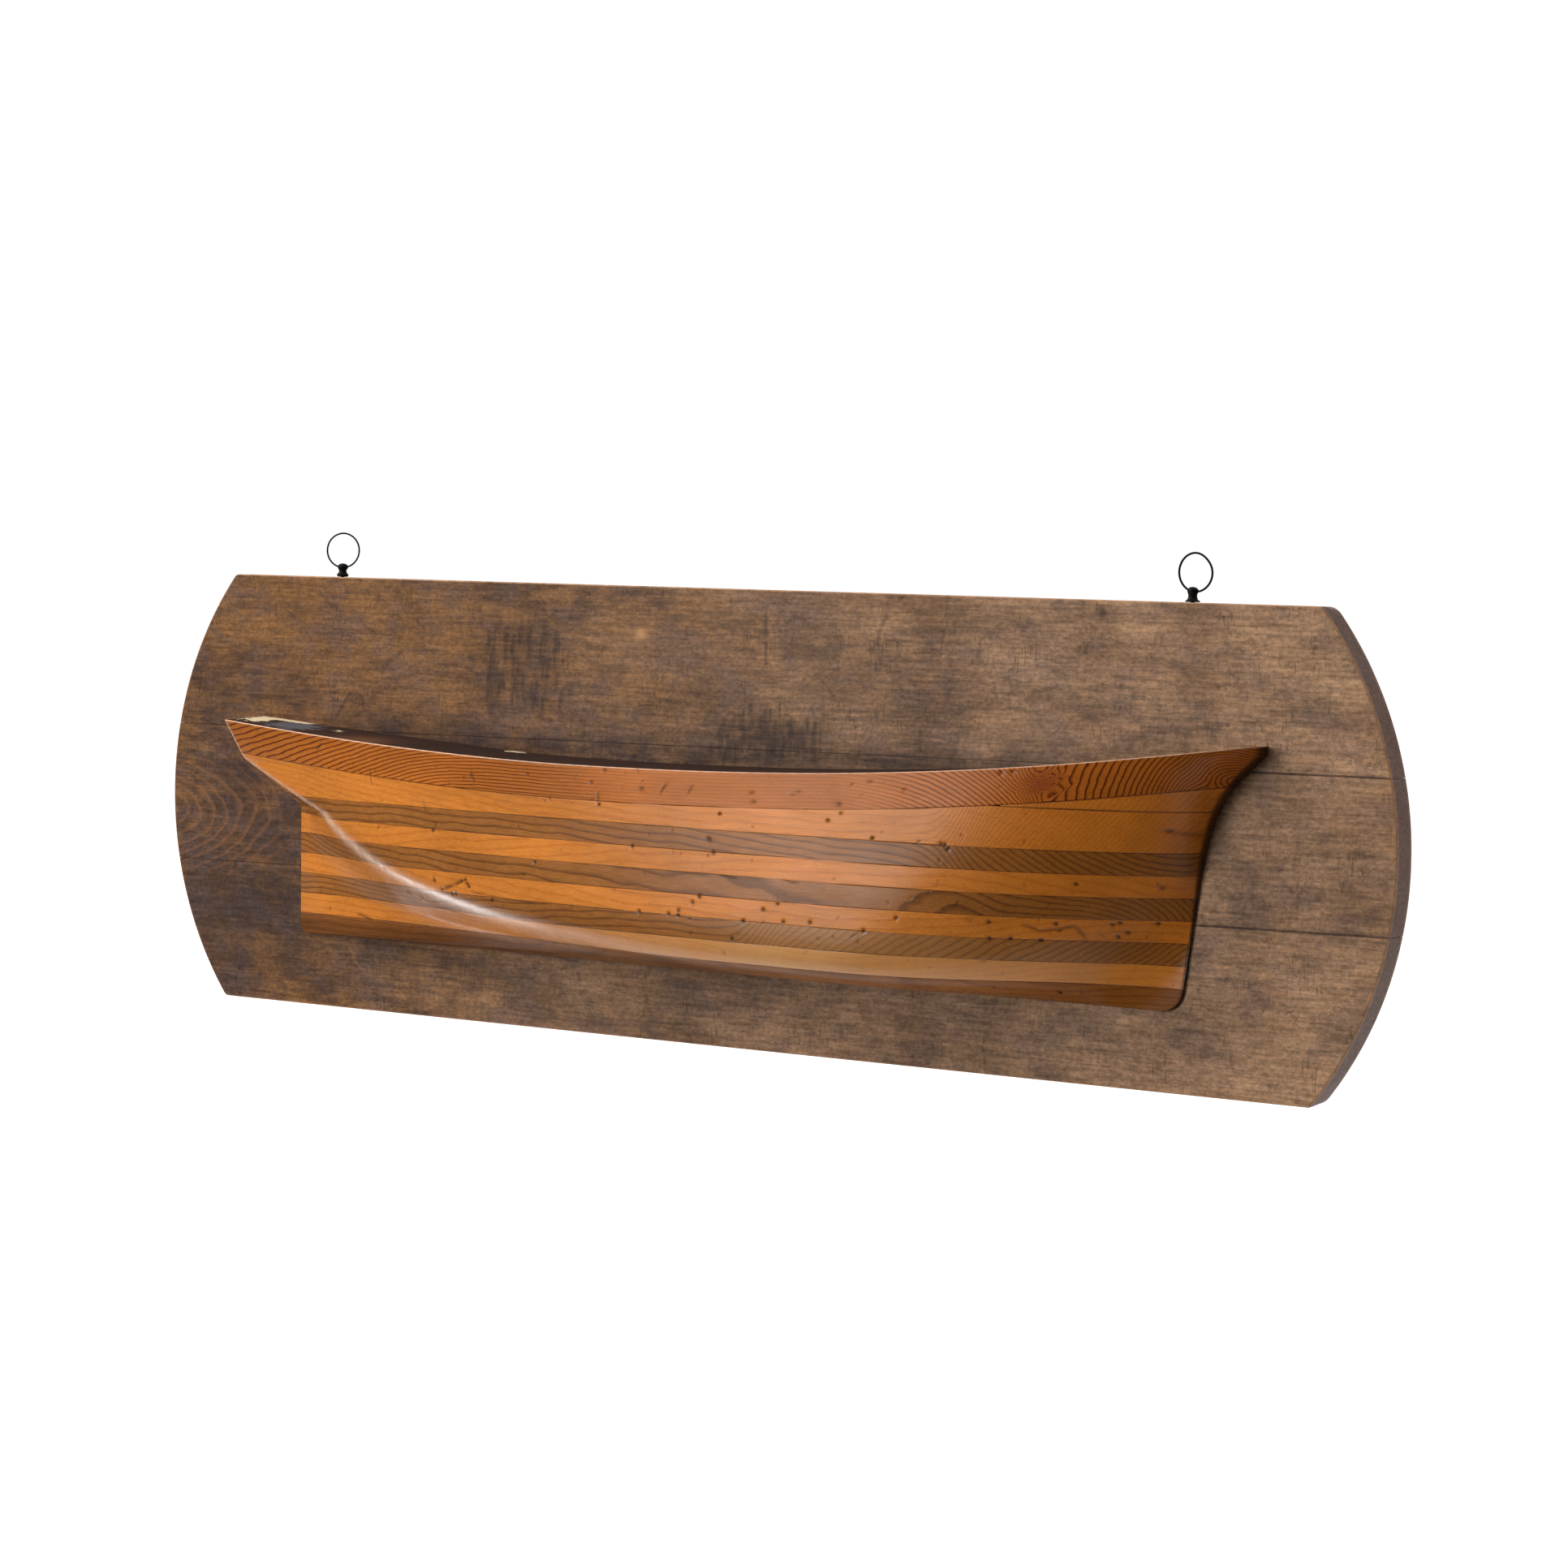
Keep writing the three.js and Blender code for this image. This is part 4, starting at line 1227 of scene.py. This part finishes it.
class Shader(Nodes):
    """A material whose colour is built up layer by layer."""

    def __init__(self, name):
        self.material = bpy.data.materials.new(name)
        self.material.use_nodes = True
        super().__init__(self.material.node_tree)
        self.surface = self.tree.nodes["Principled BSDF"].inputs
        self.colour = None

    def stain(self, share, colour):
        """Lays a colour over the colour so far."""
        self.colour = self.mix(share, self.colour, colour)

    def shade(self, value, low, high, to_low, to_high):
        """Makes the colour so far darker or lighter by a value between low and high."""
        factor = self.ramp(value, low, high, to_low, to_high)
        grey = self.node("ShaderNodeCombineColor", {0: factor, 1: factor, 2: factor}).outputs[0]
        self.colour = self.mix(1.0, self.colour, grey, "MULTIPLY")

    def finish(self, roughness, shine, relief=None, depth=0.0):
        """Gives the surface the colour so far, and bumps of a depth in millimetres."""
        self.put(self.surface["Base Color"], self.colour)
        self.put(self.surface["Roughness"], roughness)
        self.surface["Specular IOR Level"].default_value = shine
        if relief:
            made = self.node("ShaderNodeBump", {"Height": relief, "Distance": depth * MM, "Strength": 1.0})
            self.put(self.surface["Normal"], made.outputs[0])

    def place(self, stretch=(1, 1, 1)):
        """The point in millimetres, with each axis stretched."""
        where = self.node("ShaderNodeTexCoord").outputs["Object"]
        scale = [1 / MM * s for s in stretch]
        return self.node("ShaderNodeVectorMath", {0: where, 1: scale}, operation="MULTIPLY").outputs[0]

    def noise(self, size, along=1, deep=1, up=1, detail=3.0, roughness=0.5, shift=0):
        """Noise of a size in millimetres, from 0 to 1, stretched along, into and up the wall."""
        where = self.place((along, deep, up))
        if shift:
            inputs = {0: where, 1: (shift,) * 3}
            where = self.node("ShaderNodeVectorMath", inputs, operation="ADD").outputs[0]
        inputs = {"Vector": where, "Scale": 1 / size, "Detail": detail, "Roughness": roughness}
        return self.node("ShaderNodeTexNoise", inputs).outputs["Fac"]

    def late_wood(self, ring):
        """1 in the dark late wood that ends each growth ring."""
        share = self.math("FRACT", ring)
        return self.times(self.times(self.ramp(share, 0.5, 0.9), self.ramp(share, 1.0, 0.9)), "ring_shows")


def linear(*rgb):
    """A colour given as display values from 0 to 255."""
    return tuple((c / 255 / 12.92) if c <= 10 else ((c / 255 + 0.055) / 1.055) ** 2.4 for c in rgb)


def board_material():
    """Brown stain, worn through and darkened in turns, with a painted sheen towards the right end and
    painted shade beside the hull, over fine level grain and faint upright marks.
    """
    shader = Shader("board_wood")
    blotch = shader.noise(36, 0.55, detail=6, roughness=0.7)
    patch = shader.noise(9, 0.35, detail=5, roughness=0.65, shift=40)
    share = shader.add("tone", shader.ramp(blotch, 0.3, 0.7, -0.27, 0.27))
    share = shader.add(share, shader.ramp(patch, 0.4, 0.6, -0.16, 0.16))
    shader.colour = shader.mix(shader.ramp(share, 0.0, 1.0), linear(72, 50, 37), linear(126, 86, 48))
    # Painted sheen towards the right end, a paler finish along the foot, and painted light beside the bow
    shader.stain(shader.times("haze", shader.ramp(blotch, 0.3, 0.7, 0.75, 1.25)), linear(200, 158, 122))
    grey = shader.noise(34, 0.7, detail=7, roughness=0.72, shift=90)
    shader.stain(shader.ramp(grey, 0.46, 0.6, 0.0, 0.34), linear(88, 74, 76))
    fibre = shader.noise(2.6, 0.07, detail=4, roughness=0.7)
    shader.shade(fibre, 0.3, 0.7, 0.76, 1.24)
    wave = shader.noise(5, 0.05, detail=4, roughness=0.6, shift=15)
    shader.shade(wave, 0.3, 0.7, 0.9, 1.1)
    pores = shader.noise(3.2, 0.2, detail=4, roughness=0.75, shift=33)
    shader.shade(pores, 0.54, 0.64, 1.0, 0.78)
    upright = shader.noise(1.8, up=0.14, shift=60)
    where = shader.ramp(shader.noise(30, detail=4, roughness=0.7, shift=25), 0.46, 0.66)
    lines = shader.times(shader.ramp(upright, 0.5, 0.66), where)
    shader.shade(lines, 0.0, 1.0, 1.0, 0.66)
    shader.shade(shader.noise(2.4, 0.7, roughness=0.7), 0.3, 0.7, 0.74, 1.26)
    shader.stain(shader.times(shader.late_wood("ring"), 0.28), linear(156, 104, 66))
    # Dark marks and dirt, with painted contact shadow by the stem and painted shade above the sheer
    shader.stain(shader.times("dark", shader.ramp(fibre, 0.25, 0.6, 1.0, 0.72)), linear(46, 36, 36))
    shader.stain("bare", linear(205, 150, 96))
    end = shader.noise(2.5, 0.6, 0.6, detail=4, shift=8)
    end_colour = shader.mix(shader.ramp(end, 0.3, 0.7), linear(86, 56, 42), linear(116, 77, 58))
    shader.stain("end_face", end_colour)
    rubbed = shader.ramp(shader.noise(6, shift=3), 0.3, 0.5, 0.4, 1.0)
    shader.stain(shader.times("worn", rubbed), linear(196, 144, 102))
    relief = shader.add(shader.times(fibre, 0.5), shader.times(lines, -0.6))
    relief = shader.add(relief, shader.times("dark", -0.5))
    shader.finish(shader.ramp(share, 0.1, 0.9, 0.5, 0.4), 0.1, relief, 0.22)
    return shader.material


def stain_deck(shader):
    """Dark brown with dust, and chips and bare patches right aft, laid over the deck."""
    side_colour = shader.colour
    fibre = shader.noise(1.6, 0.06, detail=4, roughness=0.6, shift=5)
    shader.colour = shader.mix(shader.ramp(fibre, 0.3, 0.7), linear(32, 18, 12), linear(60, 36, 23))
    dust = shader.noise(3.5, detail=4, roughness=0.7)
    shader.stain(shader.ramp(dust, 0.58, 0.76, 0.0, 0.2), linear(84, 62, 48))
    shader.stain("brown", linear(104, 66, 42))
    ragged = shader.ramp(shader.noise(7, 0.6, detail=5, roughness=0.7, shift=22), 0.3, 0.7, -0.35, 0.35)
    shader.stain(shader.ramp(shader.add("slate", ragged), 0.4, 0.7), linear(88, 84, 88))
    shader.stain(shader.ramp(shader.add("chips", ragged), 0.45, 0.6), linear(222, 200, 162))
    shader.colour = shader.mix("deck", side_colour, shader.colour)


def lift_material(name, early, late, contrast, streak, shine):
    """Varnished wood with growth rings, dirt in its holes and seams, painted shade at the stem and along the
    foot aft, and pale edges that are partly wear and partly painted highlights.
    """
    shader = Shader(name)
    has_deck = name == "sheer_lift"
    waver = shader.ramp(shader.noise(9, 0.12), 0.2, 0.8, -0.1, 0.1)
    rings = shader.late_wood(shader.add("ring", waver))
    shader.colour = shader.mix(shader.times(rings, contrast), linear(*early), linear(*late))
    tone = shader.noise(46, 0.35, roughness=0.55, shift=seed_of(name))
    shader.shade(tone, 0.3, 0.7, 0.86, 1.12)
    fibre = shader.noise(1.2, 0.05, detail=4, roughness=0.6)
    shader.shade(fibre, 0.3, 0.7, 1 - streak, 1 + streak)
    shader.shade(shader.noise(0.8, 0.6, detail=2), 0.3, 0.7, 0.93, 1.07)
    shader.stain("pale", linear(222, 172, 116))
    shader.colour = shader.mix("amber", shader.colour, (0.94, 0.8, 0.3), "MULTIPLY")
    if has_deck:
        shader.stain(shader.times("red", 0.6), linear(122, 48, 20))
    # Dark marks and dirt, with painted shade at the stem and along the foot of the hull aft
    shader.stain("dark", linear(44, 26, 16))
    if has_deck:
        stain_deck(shader)
    # Pale edges: wear, with painted highlights on the deck edge, the stern edges and the ridge
    shader.stain(shader.times("worn", 0.75), linear(232, 196, 168))
    roughness = shader.ramp(shader.noise(14, 0.4, shift=70), 0.3, 0.7, 0.22, 0.3)
    if has_deck:
        roughness = shader.add(roughness, shader.times("deck", 0.6))
    relief = shader.add(shader.times(rings, 0.12), shader.times("dark", -0.6))
    shader.finish(roughness, shine, shader.add(relief, shader.times(fibre, 0.12)), 0.25)
    return shader.material


def metal_material():
    shader = Shader("hanger_metal")
    patina = shader.noise(1.5, detail=5)
    shader.colour = shader.mix(shader.ramp(patina, 0.35, 0.7), linear(12, 9, 7), linear(30, 23, 18))
    shader.finish(shader.ramp(patina, 0.3, 0.7, 0.4, 0.6), 0.08, patina, 0.15)
    return shader.material


# Stage


def make_camera():
    data = bpy.data.cameras.new("camera")
    data.sensor_width = 36
    data.lens = CAMERA_LENS
    data.shift_y = CAMERA_SHIFT
    data.clip_start = 0.05
    data.clip_end = 100
    yaw = math.radians(CAMERA_YAW)
    cos_roll = math.cos(CAMERA_ROLL)
    sin_roll = math.sin(CAMERA_ROLL)
    right = (cos_roll * math.cos(yaw), cos_roll * math.sin(yaw), sin_roll)
    up = (-sin_roll * math.cos(yaw), -sin_roll * math.sin(yaw), cos_roll)
    back = (math.sin(yaw), -math.cos(yaw), 0)
    camera = add_object("camera", data)
    turn = Matrix((right, up, back)).transposed().to_4x4()
    camera.matrix_world = Matrix.Translation([c * MM for c in CAMERA_PLACE]) @ turn
    bpy.context.scene.camera = camera


def add_softbox(name, azimuth, elevation, distance, size, power):
    """A soft lamp that faces the object. Azimuth is measured from straight in front towards the bow."""
    data = bpy.data.lights.new(name, "AREA")
    data.shape = "RECTANGLE"
    data.size, data.size_y = size
    data.energy = power
    light = add_object(name, data)
    turn = math.radians(azimuth)
    level = distance * math.cos(math.radians(elevation))
    height = distance * math.sin(math.radians(elevation))
    light.location = (level * math.sin(turn), -level * math.cos(turn), height)
    light.rotation_euler = (-light.location).to_track_quat("-Z", "Y").to_euler()
    light.visible_camera = False


def make_world():
    """A white studio behind the object and overhead, and a dim one in front of it."""
    world = bpy.data.worlds.new("studio")
    world.use_nodes = True
    sky = Nodes(world.node_tree)
    where = sky.node("ShaderNodeTexCoord").outputs["Generated"]
    parts = sky.node("ShaderNodeSeparateXYZ", {0: where}).outputs
    behind = sky.ramp(parts["Y"], 0.5, 0.68, WORLD_FRONT, WORLD_BACK)
    overhead = sky.ramp(parts["Z"], 0.45, 0.9, 0.0, WORLD_TOP)
    background = world.node_tree.nodes["Background"].inputs
    sky.put(background["Strength"], sky.add(behind, overhead))
    background["Color"].default_value = (1, 1, 1, 1)
    bpy.context.scene.world = world


def make_floor():
    """A pale floor far below the object, which hangs free as on a wall."""
    mesh = bpy.data.meshes.new("floor")
    corners = [(-1, FLOOR_FRONT), (1, FLOOR_FRONT), (1, FLOOR_BACK), (-1, FLOOR_BACK)]
    mesh.from_pydata([(side * FLOOR_SIDE, y, FLOOR_Z) for side, y in corners], [], [(0, 1, 2, 3)])
    floor = add_object("floor", mesh)
    shader = Shader("floor")
    shader.colour = shader.mix(shader.noise(400, detail=1), (0.93, 0.93, 0.93), (0.95, 0.95, 0.95))
    shader.finish(0.9, 0.5)
    shader.put(shader.surface["Emission Color"], (1, 1, 1, 1))
    behind = shader.node("ShaderNodeSeparateXYZ", {0: shader.place()}).outputs["Y"]
    shader.put(shader.surface["Emission Strength"], shader.ramp(behind, *FLOOR_GLOW_REACH, 0.0, FLOOR_GLOW))
    floor.data.materials.append(shader.material)


# Dressing


def dress(piece, node, body, material):
    piece.data.materials.clear()
    piece.data.materials.append(material)
    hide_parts(node)
    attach(piece, body)


# Each kind of lift: display colours of its early and late wood, how much the growth rings and the fibres
# show, and how much it shines
WOODS = {
    "keel_lift": ((146, 90, 46), (108, 62, 32), 0.5, 0.12, 0.05),
    "pale_lift": ((206, 125, 50), (176, 98, 34), 0.45, 0.1, 0.2),
    "dark_lift": ((152, 95, 44), (104, 62, 28), 0.85, 0.14, 0.2),
    "sheer_lift": ((182, 104, 40), (88, 34, 12), 1.0, 0.1, 0.14),
}


def slot_of_lift(node):
    kinds = {"hull_lift_1": "keel_lift", "hull_bow_wedge": "pale_lift", "hull_sheer_lift": "sheer_lift"}
    return kinds.get(node) or ("dark_lift" if int(node[-1]) % 2 else "pale_lift")


def main():
    make_camera()
    bpy.context.scene.view_settings.view_transform = "Standard"
    make_world()
    make_floor()
    for lamp in SOFTBOXES:
        add_softbox(*lamp)
    wood = board_material()
    for node, piece in make_board().items():
        paint_board(piece)
        dress(piece, node, "board_and_hull", wood)
    lifts = {slot: lift_material(slot, *look) for slot, look in WOODS.items()}
    for node, piece in make_hull().items():
        slot = slot_of_lift(node)
        dress(piece, node, "board_and_hull", lifts[slot])
    metal = metal_material()
    for side, hanger in HANGERS.items():
        post = make_post(side, hanger)
        ring = make_ring(side, hanger)
        dress(post, f"hanger_post_{side}", "board_and_hull", metal)
        dress(ring, f"hanger_ring_{side}", f"ring_{side}", metal)


main()
